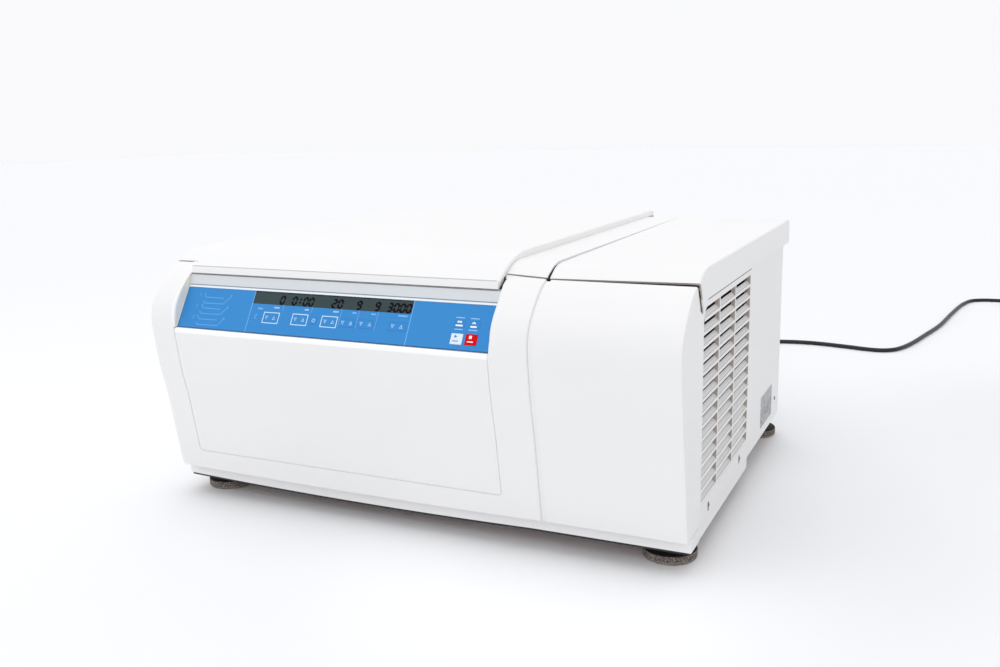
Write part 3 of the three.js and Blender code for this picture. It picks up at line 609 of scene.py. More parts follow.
def seam_wedge(x0, x1, d0, d1):
    """What comes off the top edge of a front skin so that its seam with the cover above is d0 wide at x0 and d1 at x1."""
    bm = bmesh.new()
    ends = []
    for x, d in ((x0, d0), (x1, d1)):
        a = (-273.6 - 0.898 * d, 335.6 - 0.439 * d)
        b = (-258.6 - 0.898 * d, 304.9 - 0.439 * d)
        up = (a[0] - 0.439 * 12, a[1] + 0.898 * 12)
        ends.append([bm.verts.new(Vector((x, q[0], q[1])) * MM) for q in (b, up, (up[0] + 60, up[1] + 20), (b[0] + 60, b[1] + 20), (b[0] + 3.2, b[1] - 1.0))])
    n = len(ends[0])
    for i in range(n):
        bm.faces.new((ends[0][i], ends[0][(i + 1) % n], ends[1][(i + 1) % n], ends[1][i]))
    bm.faces.new(ends[0][::-1])
    bm.faces.new(ends[1])
    return obj_from("wedge", bm, None)


def front_trim(x0, x1, e0, e1):
    """What comes off a cover's front edge, e0 at x0 and e1 at x1, measured square to the seam."""
    bm = bmesh.new()
    ends = []
    for x, e in ((x0, e0), (x1, e1)):
        p = (-273.3 + 0.898 * e, 336.0 + 0.439 * e)
        hi, lo = (p[0] - 0.439 * 14, p[1] + 0.898 * 14), (p[0] + 0.439 * 48, p[1] - 0.898 * 48)
        ends.append([bm.verts.new(Vector((x, q[0], q[1])) * MM) for q in (lo, hi, (hi[0] - 18, hi[1] - 9), (lo[0] - 18, lo[1] - 9))])
    for i in range(4):
        bm.faces.new((ends[0][i], ends[0][(i + 1) % 4], ends[1][(i + 1) % 4], ends[1][i]))
    bm.faces.new(ends[0][::-1])
    bm.faces.new(ends[1])
    return obj_from("trim", bm, None)


def edge_cutter(line, x, side, radius, arcs=6):
    """A cutter that rounds a pillar's edge at x; radius(p) gives the size at each point of the line, side is towards the opening."""
    bm = bmesh.new()
    rings = []
    for i, p in enumerate(line):
        a, b = line[max(i - 1, 0)], line[min(i + 1, len(line) - 1)]
        l = math.dist(a, b)
        n = (-(b[1] - a[1]) / l, (b[0] - a[0]) / l)
        r = max(0.05, radius(p))
        section = [(-r, 0.0)] + [(-r + r * math.cos(math.radians(t)), -r + r * math.sin(math.radians(t))) for t in [90 - 90 * k / arcs for k in range(1, arcs)]] + [(0.0, -r), (3.0, -r), (3.0, 3.0), (-r, 3.0)]
        rings.append([bm.verts.new(Vector((x + side * q[0], p[0] + n[0] * q[1], p[1] + n[1] * q[1])) * MM) for q in section])
    m = len(rings[0])
    for a, b in zip(rings, rings[1:]):
        for i in range(m):
            bm.faces.new((a[i], a[(i + 1) % m], b[(i + 1) % m], b[i]))
    bm.faces.new(rings[0][::-1])
    bm.faces.new(rings[-1])
    return obj_from("rounding", bm, None)


def skin_inside():
    inner = shifted(front, -SKIN)
    return [(inner[0][0], 30.0)] + inner[:-2] + [(-272.5, 332.2), (-240, 345), (-200, 345), (-200, 30)]


def on_profile(p, q, x):
    """Whether an edge lies on the front profile at the end x."""
    if abs(p[0] - x) > 0.01 or abs(q[0] - x) > 0.01:
        return False
    return all(v[1] < -273.0 and (v[2] > Z_BEZEL - 0.1) for v in (p, q)) and not (abs(p[2] - Z_BEZEL) < 0.01 and abs(q[2] - Z_BEZEL) < 0.01)


def between(line, z0, z1):
    def at(z):
        for a, b in zip(line, line[1:]):
            if a[1] <= z <= b[1]:
                return (a[0] + (b[0] - a[0]) * (z - a[1]) / (b[1] - a[1]), z)
    return [at(z0)] + [p for p in line if z0 + 0.4 < p[1] < z1 - 0.4] + [at(z1)]


def make_bezel():
    o = obj_from("front_skin_left", mesh(lambda bm: prism_x(bm, skin_outline(), -X_SKIN, X_SPLIT)), "white_plastic")
    round_chain(o, lambda a, b: on_profile(a, b, -X_SKIN), 3.6, 6)
    round_chain(o, lambda a, b: on_profile(a, b, X_SPLIT), 2.3, 5)
    inside = obj_from("c1", mesh(lambda bm: prism_x(bm, skin_inside(), -X_SKIN + SKIN, X_SPLIT - SKIN)), None)
    r = 6.5
    hole = [(X_COVER, 345)] + arc(X_COVER + r, 70 + r, r, 180, 270, 6) + arc(X_WIN[1] - r, 70 + r, r, 270, 360, 6) + [(X_WIN[1], 345)]
    window = obj_from("c2", mesh(lambda bm: prism_y(bm, hole, -360, -240)), None)
    boolean(o, [inside, window])
    cheek = between(front, 250, 335.4) + [(-273.9, 331), (-288, 316), (-300, 296), (-318, 262), (-326, 250)]

    def cheeks(bm):
        prism_x(bm, between(front, 254.9, 335.4) + cheek[-5:-1] + [(-323.5, 254.9)], X_WIN[0] - 8.2, X_WIN[0])
        prism_x(bm, cheek, X_WIN[1], X_WIN[1] + 8.2)

    rail = obj_from("c3", mesh(lambda bm: prism_x(bm, [(-292.2, 322.7), (-273.9, 332.9), (-273.9, 329.6), (-290.8, 320.2)], X_WIN[0] - 1.5, X_LID[1] - 2)), None)
    boolean(o, [obj_from("c2", mesh(cheeks), None)], "UNION")
    boolean(o, [rail], "UNION")
    brow = [(-276.5, 332.9), (-273.6, 335.6), (-271.6, 337.4), (-270.0, 338.7), (-268.6, 336.2), (-272.5, 332.2)]
    boolean(o, [obj_from("c4", mesh(lambda bm: prism_x(bm, brow, X_LID[1] + 1.0, X_SPLIT - 0.5)), None)], "UNION")

    def depth(p):  # how far the keypad lies below the pillars decides how round their edges can be
        n = -(p[0] + 334.15) * 49.7 / 58.05 + (p[1] - 254.8) * 30.0 / 58.05
        return min(6.3, 0.62 * n)

    def left_depth(p):  # the left pillar's edge is cut back most at the middle of its height
        steps = [(252, 0.6), (257, 1.3), (264, 2.9), (270, 3.9), (277, 4.3), (284, 4.1), (290, 3.9), (296, 3.3), (302, 2.4), (308, 1.9), (314, 1.2), (319, 0.6), (328, 0.3)]
        for a, b in zip(steps, steps[1:]):
            if a[0] <= p[1] <= b[0]:
                return a[1] + (b[1] - a[1]) * (p[1] - a[0]) / (b[0] - a[0])
        return 0.3
    brim = between(front, 252.5, 327.5)
    boolean(o, [edge_cutter(brim, X_WIN[0], 1, left_depth, 3), edge_cutter(brim, X_WIN[1], -1, depth)])
    boolean(o, [seam_wedge(-400, -341.0, 3.0, 2.7)])
    boolean(o, [seam_wedge(-341.1, 136.9, 0.5, 0.8)])
    boolean(o, [seam_wedge(136.8, 193, -2.2, 2.5)])
    tidy(o)
    hang(o, 2.7, 46, -292)
    o.data.materials.append(MATERIAL["window_wall_shade_tint"])
    o.data.materials.append(MATERIAL["highlight_white"])
    for p in o.data.polygons:  # the walls beside the sunken keypad take a painted warm tint standing in for the beige shade on them, and the pillar's rounded edge takes a painted highlight white
        c = p.center / MM
        if abs(p.normal.x) > 0.9 and (abs(c.x - X_WIN[0]) < 0.2 or abs(c.x - X_WIN[1]) < 0.2) and c.z > 250:
            p.material_index = 1
        elif 0.2 < p.normal.x < 0.97 and X_WIN[0] - 6.6 < c.x < X_WIN[0] and 250 < c.z < 334:
            p.material_index = 2
    soften(o, 0.9, 3)
    place(o, replaces=("front_bezel",), slot="white_plastic")


make_bezel()


def make_fridge_front():
    left = X_SPLIT + 0.06
    o = obj_from("front_skin_right", mesh(lambda bm: prism_x(bm, skin_outline(), left, X_SKIN)), "white_plastic")
    round_chain(o, lambda a, b: on_profile(a, b, X_SKIN), 1.8, 4)
    # a narrow step along the left edge makes the groove beside the pillar
    groove = [(X_FRIDGE - 1, X_FRIDGE + 5.8)]
    strip = shifted(front, 4.0)
    lowered = shifted(front, -2.25)
    step = obj_from("c0", mesh(lambda bm: prism_x(bm, strip + lowered[::-1], groove[0][0], groove[0][1])), None)
    boolean(o, [step])
    inside = obj_from("c1", mesh(lambda bm: prism_x(bm, skin_inside(), X_FRIDGE + SKIN, X_SKIN - SKIN)), None)
    boolean(o, [inside])
    boolean(o, [seam_wedge(left - 1, X_SKIN + 1, 3.7, 3.6)])
    tidy(o)
    soften(o, 0.9, 3)
    place(o, replaces=("fridge_front",), slot="white_plastic")

    # a dark strip in the slit under the cover's front edge: painted shade, standing in for the slit's dark inside
    def sealing(bm):
        ends = []
        for x, drop in ((X_FRIDGE + 2.4, COVER_DROP), (X_SKIN - 2.6, 0.0)):
            ends.append([bm.verts.new(Vector((x, p[0], p[1] - drop)) * MM) for p in ((-269.0, 334.0), (-265.0, 336.9), (-261, 337.4), (-261, 322), (-269.0, 322))])
        for i in range(5):
            bm.faces.new((ends[0][i], ends[0][(i + 1) % 5], ends[1][(i + 1) % 5], ends[1][i]))
        bm.faces.new(ends[0][::-1])
        bm.faces.new(ends[1])
    e = obj_from("cover_slit_shade", mesh(sealing), "seal")
    soften(e, 0.4, 2)
    place(e, slot="seal")
    def on_seam(along, out):
        return (-273.6 + 0.439 * along + 0.898 * out, 335.6 - 0.898 * along + 0.439 * out)
    # a warm grey block at the side of the slit gives it its beige shade: painted shade
    side = obj_from("cover_side_stop", mesh(lambda bm: prism_x(bm, [on_seam(6, 1.9), on_seam(6, -3.1), on_seam(33.2, -3.1), on_seam(33.2, 1.9)], X_SKIN - 4.5, X_SKIN - 1.2)), "slit_shade_grey")
    soften(side, 0.3, 2)
    place(side, slot="grey_plastic")


make_fridge_front()


# the access panel closes the window and turns over into the ledge below the keypad
def panel_point(v, n):
    c, s = 30.0 / 58.05, 49.7 / 58.05
    return (-334.15 + v * c - n * s, 254.8 + v * s + n * c)


def make_access_panel():
    outer = between(front, 71.4, 245.6)
    ledge = [(-336.58, 247.4), (-336.5, 249.2), (-336.15, 250.9), (-335.5, 252.5), (-334.75, 253.8), (-334.45, 254.3)]
    back = [(-333.1, 252.6), (-333.6, 250.4)]
    inner = shifted(between(front, 71.4, 249.5), -2.5)
    loop = outer + ledge + back + inner[::-1]
    o = obj_from("access_cover", mesh(lambda bm: prism_x(bm, loop, X_COVER + 1.5, X_WIN[1] - 1.5)), "white_plastic")
    # round the lower corners in the plane of the cover
    tidy(o, 0.2)
    bm = bmesh.new()
    bm.from_mesh(o.data)
    picked = [e for e in bm.edges if all(abs(v.co.z / MM - 71.4) < 0.6 for v in e.verts) and abs(e.verts[0].co.x - e.verts[1].co.x) < 1e-6
              and abs(e.verts[0].co.y - e.verts[1].co.y) > 1e-4]
    bmesh.ops.bevel(bm, geom=picked, offset=6.0 * MM, offset_type="OFFSET", segments=5, profile=0.5, affect="EDGES", clamp_overlap=False)
    bm.to_mesh(o.data)
    bm.free()
    # faces along the top bend of the cover take a brighter white: a painted highlight
    o.data.materials.append(MATERIAL["highlight_white"])
    for p in o.data.polygons:
        p.use_smooth = True
        if p.normal.y < -0.3 and p.normal.z > 0.03 and p.center.z > 0.2474:
            p.material_index = 1
    soften(o, 1.0, 3)
    place(o, replaces=("front_access_panel",), slot="white_plastic")

    # the window's shallow rebate, seen in the gap round the cover
    band = between(front, 66, 253.6)
    r = obj_from("window_rebate", mesh(lambda bm: prism_x(bm, shifted(band, -1.15) + shifted(band, -2.45)[::-1], X_COVER - 0.3, X_WIN[1] + 0.3)), "white_plastic")

    def window(grow, r, top):
        x0, x1, z0 = X_COVER - grow, X_WIN[1] + grow, 70 - grow
        return [(x0, top)] + arc(x0 + r, z0 + r, r, 180, 270, 6) + arc(x1 - r, z0 + r, r, 270, 360, 6) + [(x1, top)]
    boolean(r, [obj_from("c1", mesh(lambda bm: prism_y(bm, window(0.3, 6.6, 254.2), -360, -240)), None)], "INTERSECT")
    boolean(r, [obj_from("c2", mesh(lambda bm: prism_y(bm, window(-2.0, 5.6, 300), -370, -230)), None)])
    sharp_by_angle(tidy(r), 30)
    place(r, slot="white_plastic")


make_access_panel()


# ----------------------------------------------------------------- the keypad
PX, PW, PH = -93.0, 235.2, 57.9
C_UP, S_UP = 30.0 / 58.05, 49.7 / 58.05


def on_panel(u, v, n):
    return (PX + u, -334.15 + v * C_UP - n * S_UP, 254.8 + v * S_UP + n * C_UP)


def panel_plate(bm, loop, n0, n1):
    loop_prism(bm, loop, lambda p: on_panel(p[0], p[1], n0), lambda p: on_panel(p[0], p[1], n1))


def stroke(bm, pts, width, n0, n1, closed=False):
    """A printed line of even width, mitred at its corners."""
    m = len(pts)
    left, right = [], []
    for i in range(m):
        a = pts[(i - 1) % m] if (closed or i > 0) else None
        b = pts[(i + 1) % m] if (closed or i < m - 1) else None
        p = pts[i]
        def nrm(q0, q1):
            l = math.dist(q0, q1)
            return (-(q1[1] - q0[1]) / l, (q1[0] - q0[0]) / l)
        n1_ = nrm(a, p) if a else nrm(p, b)
        n2_ = nrm(p, b) if b else n1_
        mx, my = n1_[0] + n2_[0], n1_[1] + n2_[1]
        l = math.hypot(mx, my) or 1.0
        mx, my = mx / l, my / l
        k = min(2.5, 1.0 / max(0.2, mx * n1_[0] + my * n1_[1]))
        left.append((p[0] + mx * width / 2 * k, p[1] + my * width / 2 * k))
        right.append((p[0] - mx * width / 2 * k, p[1] - my * width / 2 * k))
    count = m if closed else m - 1
    for i in range(count):
        j = (i + 1) % m
        panel_plate(bm, [right[i], right[j], left[j], left[i]], n0, n1)


def disc(u, v, r, n=20):
    return [(u + r * math.cos(2 * math.pi * i / n), v + r * math.sin(2 * math.pi * i / n)) for i in range(n)]


KEYS = {
    "key_rocker_1": (-84.4, 22.6, 21.8, 12.2), "key_rocker_2": (-39.1, 23.1, 21.2, 12.2), "key_star": (-16.9, 23.0, 9, 9),
    "key_rocker_3": (6.3, 23.2, 21, 12), "key_rocker_4": (33.2, 23.4, 22.4, 11), "key_rocker_5": (60.2, 23.7, 22.4, 11),
    "key_rocker_6": (105.8, 23.7, 24.4, 11), "key_pulse": (190.3, 33.0, 14, 8.4), "key_open": (210.2, 33.1, 14, 8.4),
    "key_start": (190.0, 14.2, 15.6, 13.6), "key_stop": (209.3, 14.4, 15.6, 13.6),
}
LCD = (-118.9, 121.7, 41.2, 58.45)
FILM_TOP = 58.6
INK = 0.05


def make_film():
    film = obj_from("keypad_film", mesh(lambda bm: panel_plate(bm, [(-PW + 0.9, 0.25), (PW - 0.1, 0.25), (PW - 0.1, FILM_TOP), (-PW + 1.1, FILM_TOP)], -1.0, 0.0)), "blue_film")

    def holes(bm):
        for u, v, w, h in KEYS.values():
            panel_plate(bm, round_rect(u - w / 2 - 0.12, u + w / 2 + 0.12, v - h / 2 - 0.12, v + h / 2 + 0.12, 0.8), -2, 1)
        panel_plate(bm, rect(LCD[0] - 0.15, LCD[1] + 0.15, LCD[2] - 0.15, 70), -2, 1)

    boolean(film, [obj_from("c", mesh(holes), None)])
    tidy(film)
    soften(film, 0.12, 2)
    place(film, replaces=("control_overlay",), slot="keypad_blue")

    # a thin dark blue border along the film's left, bottom and right edges: painted shadow of the film's recess
    def rim(bm):
        panel_plate(bm, rect(-PW + 0.95, PW - 0.15, 0.3, 1.15), 0, INK)
        panel_plate(bm, rect(PW - 1.0, PW - 0.15, 1.15, FILM_TOP - 0.1), 0, INK)
        panel_plate(bm, [(-PW + 0.93, 1.15), (-PW + 1.55, 1.15), (-PW + 1.75, FILM_TOP - 0.1), (-PW + 1.13, FILM_TOP - 0.1)], 0, INK)
    e = obj_from("keypad_film_edge", mesh(rim), "film_edge_shadow", smooth=False)
    place(e, slot="keypad_blue")

    margin = obj_from("keypad_margin", mesh(lambda bm: panel_plate(bm, [(-PW + 0.02, 0.25), (-PW + 0.82, 0.25), (-PW + 1.02, FILM_TOP), (-PW + 0.02, FILM_TOP)], -1.2, 0.22)), "rib_white")
    soften(margin, 0.15, 2)
    place(margin, slot="grey_plastic")

    glass = obj_from("display_lens", mesh(lambda bm: panel_plate(bm, rect(LCD[0], LCD[1], LCD[2], FILM_TOP), -1.2, -0.25)), "lcd")
    soften(glass, 0.15, 2)
    place(glass, replaces=("display_window",), slot="display")


def make_digits():
    seg = {"a": ((0.04, 1), (0.96, 1)), "g": ((0.04, 0.5), (0.96, 0.5)), "d": ((0.04, 0), (0.96, 0)),
           "f": ((0, 0.98), (0, 0.52)), "b": ((1, 0.98), (1, 0.52)), "e": ((0, 0.48), (0, 0.02)), "c": ((1, 0.48), (1, 0.02))}
    shown = {"0": "abcdef", "2": "abged", "3": "abgcd", "9": "abcdfg", "6": "afgedc", "8": "abcdefg", "5": "afgcd", "1": "bc", "4": "fgbc", "7": "abc"}
    w, h, slant, v0 = 5.6, 10.2, 0.12, 42.9

    def build(bm):
        def digit(ch, u):
            for s in shown[ch]:
                (x0, y0), (x1, y1) = seg[s]
                q = [(u + x0 * w + slant * y0 * h, v0 + y0 * h), (u + x1 * w + slant * y1 * h, v0 + y1 * h)]
                d = (q[1][0] - q[0][0], q[1][1] - q[0][1])
                l = math.hypot(*d)
                d = (d[0] / l, d[1] / l)
                nx, ny = -d[1], d[0]
                t = 1.45
                a, b = q
                loop = [(a[0] - d[0] * 0.25, a[1] - d[1] * 0.25), (a[0] + d[0] * t + nx * t, a[1] + d[1] * t + ny * t), (b[0] - d[0] * t + nx * t, b[1] - d[1] * t + ny * t),
                        (b[0] + d[0] * 0.25, b[1] + d[1] * 0.25), (b[0] - d[0] * t - nx * t, b[1] - d[1] * t - ny * t), (a[0] + d[0] * t - nx * t, a[1] + d[1] * t - ny * t)]
                panel_plate(bm, loop[::-1], -0.26, -0.2)
        digit("0", -76.4)
        digit("0", -57.2)
        digit("0", -40.0)
        digit("0", -31.2)
        for v in (46.2, 50.6):
            panel_plate(bm, disc(-45.6 + 0.12 * (v - 43), v, 1.5, 12), -0.26, -0.2)
        digit("2", 4.4)
        digit("0", 13.4)
        digit("9", 41.6)
        digit("9", 68.6)
        for ch, u in zip("3000", (86.6, 95.6, 104.4, 113.2)):
            digit(ch, u)

    o = obj_from("display_digits", mesh(build), "digit", smooth=False)
    place(o, slot="display")
    # a thin dark edge along the display's top
    def edge(bm):
        u0, u1, v0_, v1_ = LCD
        panel_plate(bm, rect(u0, u1, v1_ - 0.85, v1_ + 0.1), -0.26, -0.21)
    e = obj_from("display_top_edge", mesh(edge), "digit", smooth=False)
    place(e, slot="display")


def make_prints():
    def labels(bm, rows):
        for u, v, w, h in rows:
            panel_plate(bm, round_rect(u - w / 2, u + w / 2, v - h / 2, v + h / 2, 0.45, 3), 0, INK)

    def bright(bm):
        # frames round three value keys
        for u, v, a, b in ((-84.25, 22.65, 12.1, 7.15), (-38.95, 23.1, 11.75, 7.2), (6.3, 23.2, 11.6, 7.1)):
            stroke(bm, [(u - a, v - b), (u + a, v - b), (u + a, v + b), (u - a, v + b)], 1.15, 0.0, INK, closed=True)

    def dim(bm):  # run-up and run-down profiles, numerals 1, 2, 3
        lines = [[(-202.9, 50.4), (-200.2, 45.1), (-169.1, 45.0)], [(-202.4, 39.8), (-199.5, 36.5), (-167.2, 37.0), (-157.6, 48.6)],
                 [(-202.6, 33.7), (-200.1, 29.6), (-170.4, 29.2)], [(-203.7, 25.1), (-200.3, 21.5), (-167.8, 21.9), (-158.5, 32.1)],
                 [(-204.8, 17.8), (-200.9, 13.6), (-170.9, 13.9)], [(-204.3, 8.8), (-201.5, 5.8), (-167.3, 6.2), (-159.4, 16.3)]]
        for k, pts in enumerate(lines):
            stroke(bm, pts, 1.15, 0, INK)
            if k % 2:
                panel_plate(bm, disc(pts[-1][0], pts[-1][1], 1.6, 16), 0, INK)
            else:
                panel_plate(bm, disc(pts[0][0], pts[0][1], 1.25, 14), 0, INK)
        for k, (u, v) in enumerate(((-210.2, 47.8), (-211.0, 31.7), (-211.6, 15.8))):
            if k == 0:
                stroke(bm, [(u - 1.0, v + 1.0), (u + 0.3, v + 2.1), (u + 0.3, v - 2.1)], 0.8, 0, INK)
            elif k == 1:
                stroke(bm, [(u - 1.3, v + 1.2), (u - 0.6, v + 2.1), (u + 0.8, v + 2.0), (u + 1.0, v + 0.8), (u - 1.3, v - 2.1), (u + 1.4, v - 2.1)], 0.7, 0, INK)
            else:
                stroke(bm, [(u - 1.3, v + 2.1), (u + 1.2, v + 2.1), (u - 0.1, v + 0.4), (u + 1.2, v - 0.6), (u + 0.6, v - 2.0), (u - 1.3, v - 1.9)], 0.7, 0, INK)

    def label(bm):  # plain bars over the keys, rules over and under the two upper keys
        labels(bm, ((-78.7, 37.0, 9, 2.1), (-31.6, 37.1, 6.3, 2.1), (13.1, 37.2, 8.3, 2.1)))
        for u, v, w in ((189.5, 41.0, 12), (189.9, 26.3, 11.4), (208.8, 40.8, 11.4), (209.1, 26.3, 11.4)):
            labels(bm, ((u, v, w, 1.1),))

    def pale(bm):
        for u in (-119.55, 122.35):
            panel_plate(bm, rect(u - 0.5, u + 0.5, 1.0, FILM_TOP - 0.1), 0, INK)
        for u, v0, v1 in ((-68.4, 33.0, 40.9), (-23.7, 33.0, 40.9), (21.4, 17.4, 40.9), (47.4, 17.4, 40.9), (75.0, 16.4, 40.9)):
            panel_plate(bm, rect(u - 0.28, u + 0.28, v0, v1), 0, INK)
        labels(bm, ((-104.6, 34.4, 8, 2.0), (40.8, 37.4, 6, 2.0), (68.7, 37.4, 6.7, 2.0), (110.8, 37.9, 13, 2.0)))
        # a small open ring by the first value
        ring = [(-108.1 + 2.1 * math.cos(math.radians(t)), 23.0 + 2.5 * math.sin(math.radians(t))) for t in range(50, 311, 20)]
        stroke(bm, ring, 0.9, 0, INK)

    for name, build, m in (("keypad_print_bright", bright, "print_cyan"), ("keypad_print_pale", pale, "print_pale"), ("keypad_print_dim", dim, "print_dim"),
                           ("keypad_print_labels", label, "print_label")):
        o = obj_from(name, mesh(build), m, smooth=False)
        place(o, slot="keypad_blue")


def make_keys():
    for name, (u, v, w, h) in KEYS.items():
        material, slot = {"key_start": ("key_white", "key_white"), "key_stop": ("key_red", "key_red")}.get(name, ("blue_film", "keypad_blue"))
        rocker = "rocker" in name
        raised = 0.3 if name in ("key_start", "key_stop") else 0.12

        def cap(bm, u=u, v=v, w=w, h=h, rocker=rocker):
            panel_plate(bm, round_rect(u - w / 2, u + w / 2, v - h / 2, v + h / 2, 0.8), -3.2, raised)
            if rocker:
                panel_plate(bm, rect(u - 2, u + 2, v - h / 2 + 1, v + h / 2 - 1), -6.4, -3.0)
            else:
                panel_plate(bm, rect(u - w / 2 + 3, u + w / 2 - 3, v - h / 2 + 2, v + h / 2 - 2), -6.8, -3.0)

        o = obj_from(name + "_cap", mesh(cap), material)
        soften(o, 0.28 if raised > 0.2 else 0.1, 2, 40)
        place(o, name, replaces=(name,), slot=slot)
        top = raised

        def marks(bm, name=name):
            if name in ARROWS:
                down, up = ARROWS[name]
                w = 1.9
                stroke(bm, [(down - w, v + 2.0), (down + w, v + 2.0), (down, v - 1.8)], 0.74, top, top + INK, closed=True)
                stroke(bm, [(up - w, v - 1.8), (up + w, v - 1.8), (up, v + 2.0)], 0.74, top, top + INK, closed=True)
            elif name == "key_star":
                stroke(bm, disc(-17.2, 23.5, 1.9, 20), 0.8, top, top + INK, closed=True)
                for k in range(8):
                    a = math.radians(45 * k)
                    stroke(bm, [(-17.2 + 2.2 * math.cos(a), 23.5 + 2.2 * math.sin(a)), (-17.2 + 3.0 * math.cos(a), 23.5 + 3.0 * math.sin(a))], 0.45, top, top + INK)
            elif name == "key_pulse":
                panel_plate(bm, round_rect(186.6, 189.2, 34.6, 36.9, 0.5, 3), top, top + INK)
                panel_plate(bm, round_rect(189.7, 192.4, 34.6, 36.9, 0.5, 3), top, top + INK)
                panel_plate(bm, round_rect(184.9, 194.4, 30.1, 32.1, 0.5, 3), top, top + INK)
            elif name == "key_open":
                panel_plate(bm, rect(206.0, 211.2, 34.2, 35.0), top, top + INK)
                panel_plate(bm, [(206.2, 35.5), (211.0, 35.5), (208.6, 37.0)], top, top + INK)
                panel_plate(bm, round_rect(204.6, 213.0, 29.5, 31.5, 0.5, 3), top, top + INK)
            elif name == "key_start":
                panel_plate(bm, [(186.9, 15.3), (190.8, 17.2), (186.9, 19.2)], top, top + INK)
            else:
                panel_plate(bm, round_rect(206.2, 209.7, 15.6, 19.2, 0.3, 3), top, top + INK)
                panel_plate(bm, round_rect(204.6, 212.6, 11.0, 12.4, 0.5, 3), top, top + INK)

        ink = {"key_start": "print_blue", "key_star": "print_pale2", "key_stop": "print_white"}.get(name, "print_pale2" if name in ARROWS else "print_white")
        m = obj_from(name + "_mark", mesh(marks), ink if ink in MATERIAL else "print_white", smooth=False)
        place(m, name, slot=slot)
        if name == "key_start":
            bar = obj_from(name + "_bar", mesh(lambda bm: panel_plate(bm, round_rect(184.8, 192.8, 10.7, 12.4, 0.5, 3), top, top + INK)), "print_grey", smooth=False)
            place(bar, name, slot=slot)


ARROWS = {"key_rocker_1": (-91.1, -79.5), "key_rocker_2": (-45.5, -33.3), "key_rocker_3": (0.4, 11.9),
          "key_rocker_4": (26.9, 39.1), "key_rocker_5": (54.1, 66.7), "key_rocker_6": (99.7, 111.8)}
MATERIAL["print_pale2"] = finish("print_pale_marks", (0.42, 0.64, 0.92), 0.45, grain=3000, grain_bump=0.002, cloud=0.05, cloud_scale=300)
make_film()
make_digits()
make_prints()
make_keys()


def make_fascia():
    P = panel_point
    loop = [(-295.4, 322.5), P(PH + 0.8, 0), P(PH + 0.8, -1.3), P(-0.1, -1.3), P(-0.1, -3.6), P(PH + 0.9, -3.6), (-301.2, 305.9), (-292.7, 322.5)]
    o = obj_from("keypad_carrier", mesh(lambda bm: prism_x(bm, loop, X_WIN[0] + 0.3, X_WIN[1] - 0.3)), "grey_plastic")

    def holes(bm):
        for u, v, w, h in KEYS.values():
            panel_plate(bm, rect(u - w / 2 - 0.9, u + w / 2 + 0.9, v - h / 2 - 0.9, v + h / 2 + 0.9), -8, 2)
        panel_plate(bm, rect(-90, 90, 44, 54), -8, 2)

    boolean(o, [obj_from("c", mesh(holes), None)])
    tidy(o)
    soften(o, 0.3, 2)
    place(o, replaces=("panel_fascia",), slot="grey_plastic")
    # the strip above the keypad: white rib, fine line, silver face
    a, b = P(PH + 0.8, 0), (-295.4, 322.5)
    length = math.dist(a, b)
    d = ((b[0] - a[0]) / length, (b[1] - a[1]) / length)
    n = (-d[1], d[0])

    def along(s, t):
        return (a[0] + d[0] * s + n[0] * t, a[1] + d[1] * s + n[1] * t)

    def slanted(bm, section, x0, x1, lean):
        """A strip along X whose left end leans outwards with its height on the slope."""
        n0 = [bm.verts.new(Vector((x0 - lean * along_s, q[0], q[1])) * MM) for along_s, q in section]
        n1 = [bm.verts.new(Vector((x1, q[0], q[1])) * MM) for _, q in section]
        k = len(section)
        for i in range(k):
            bm.faces.new((n0[i], n0[(i + 1) % k], n1[(i + 1) % k], n1[i]))
        bm.faces.new(n0[::-1])
        bm.faces.new(n1)

    def strip(name, material, slot, section, bevel):
        o = obj_from(name, mesh(lambda bm: slanted(bm, [(q[0], along(*q)) for q in section], X_WIN[0] + 2.4, X_WIN[1] - 0.35, 2.0 / 18.0)), material)
        soften(o, bevel, 2)
        place(o, slot=slot)

    strip("strip_rib", "rib_white", "white_plastic", [(0.1, 0), (0.1, 0.5), (0.5, 0.85), (2.1, 0.85), (2.45, 0.5), (2.45, 0)], 0.2)
    strip("silver_strip_lower", "silver", "grey_plastic", [(2.5, 0), (2.5, 0.42), (3.05, 0.42), (3.05, 0)], 0.08)
    strip("strip_line", "line_grey", "grey_plastic", [(3.08, 0), (3.08, 0.3), (4.1, 0.3), (4.1, 0)], 0.05)
    strip("silver_strip", "silver", "grey_plastic", [(4.13, 0), (4.13, 0.45), (length - 1.6, 0.45), (length - 1.6, 0)], 0.15)
    # the dark band at the strip's top edge is painted shadow under the lid's front lip
    strip("strip_top_shadow", "strip_seat_shadow", "grey_plastic", [(length - 1.55, 0), (length - 1.55, 0.1), (length - 0.3, 0.1), (length - 0.3, 0)], 0.03)


make_fascia()


# ------------------------------------------------------ deck, cover, lid
deck_line = smooth_line(DECK, 2.0)


def cover_outline(rear):
    low = smooth_line([(-258.2, 305.0), (-254, 308.2), (-246, 311.9), (-233, 314.15), (-220, SKIRT)], 2.5)
    return low + [(rear, SKIRT), (rear, Z_DECK - 4)] + arc(rear - 4, Z_DECK - 4, 4, 0, 90, 5)[1:] + deck_line[::-1]


def cover_inside(rear, t=2.6):
    l = shifted(deck_line, -t)
    return [(-300, 250), (rear - t, 250), (rear - t, Z_DECK - t - 3), (rear - t - 3, Z_DECK - t)] + l[1:][::-1] + [(-275.2, 334.0), (-276.5, 333.4), (-300, 320)]


def cover_edge(x):
    def picked(a, b):
        if abs(a[0] - x) > 0.01 or abs(b[0] - x) > 0.01:
            return False
        return all(v[2] > 335.5 for v in (a, b))
    return picked


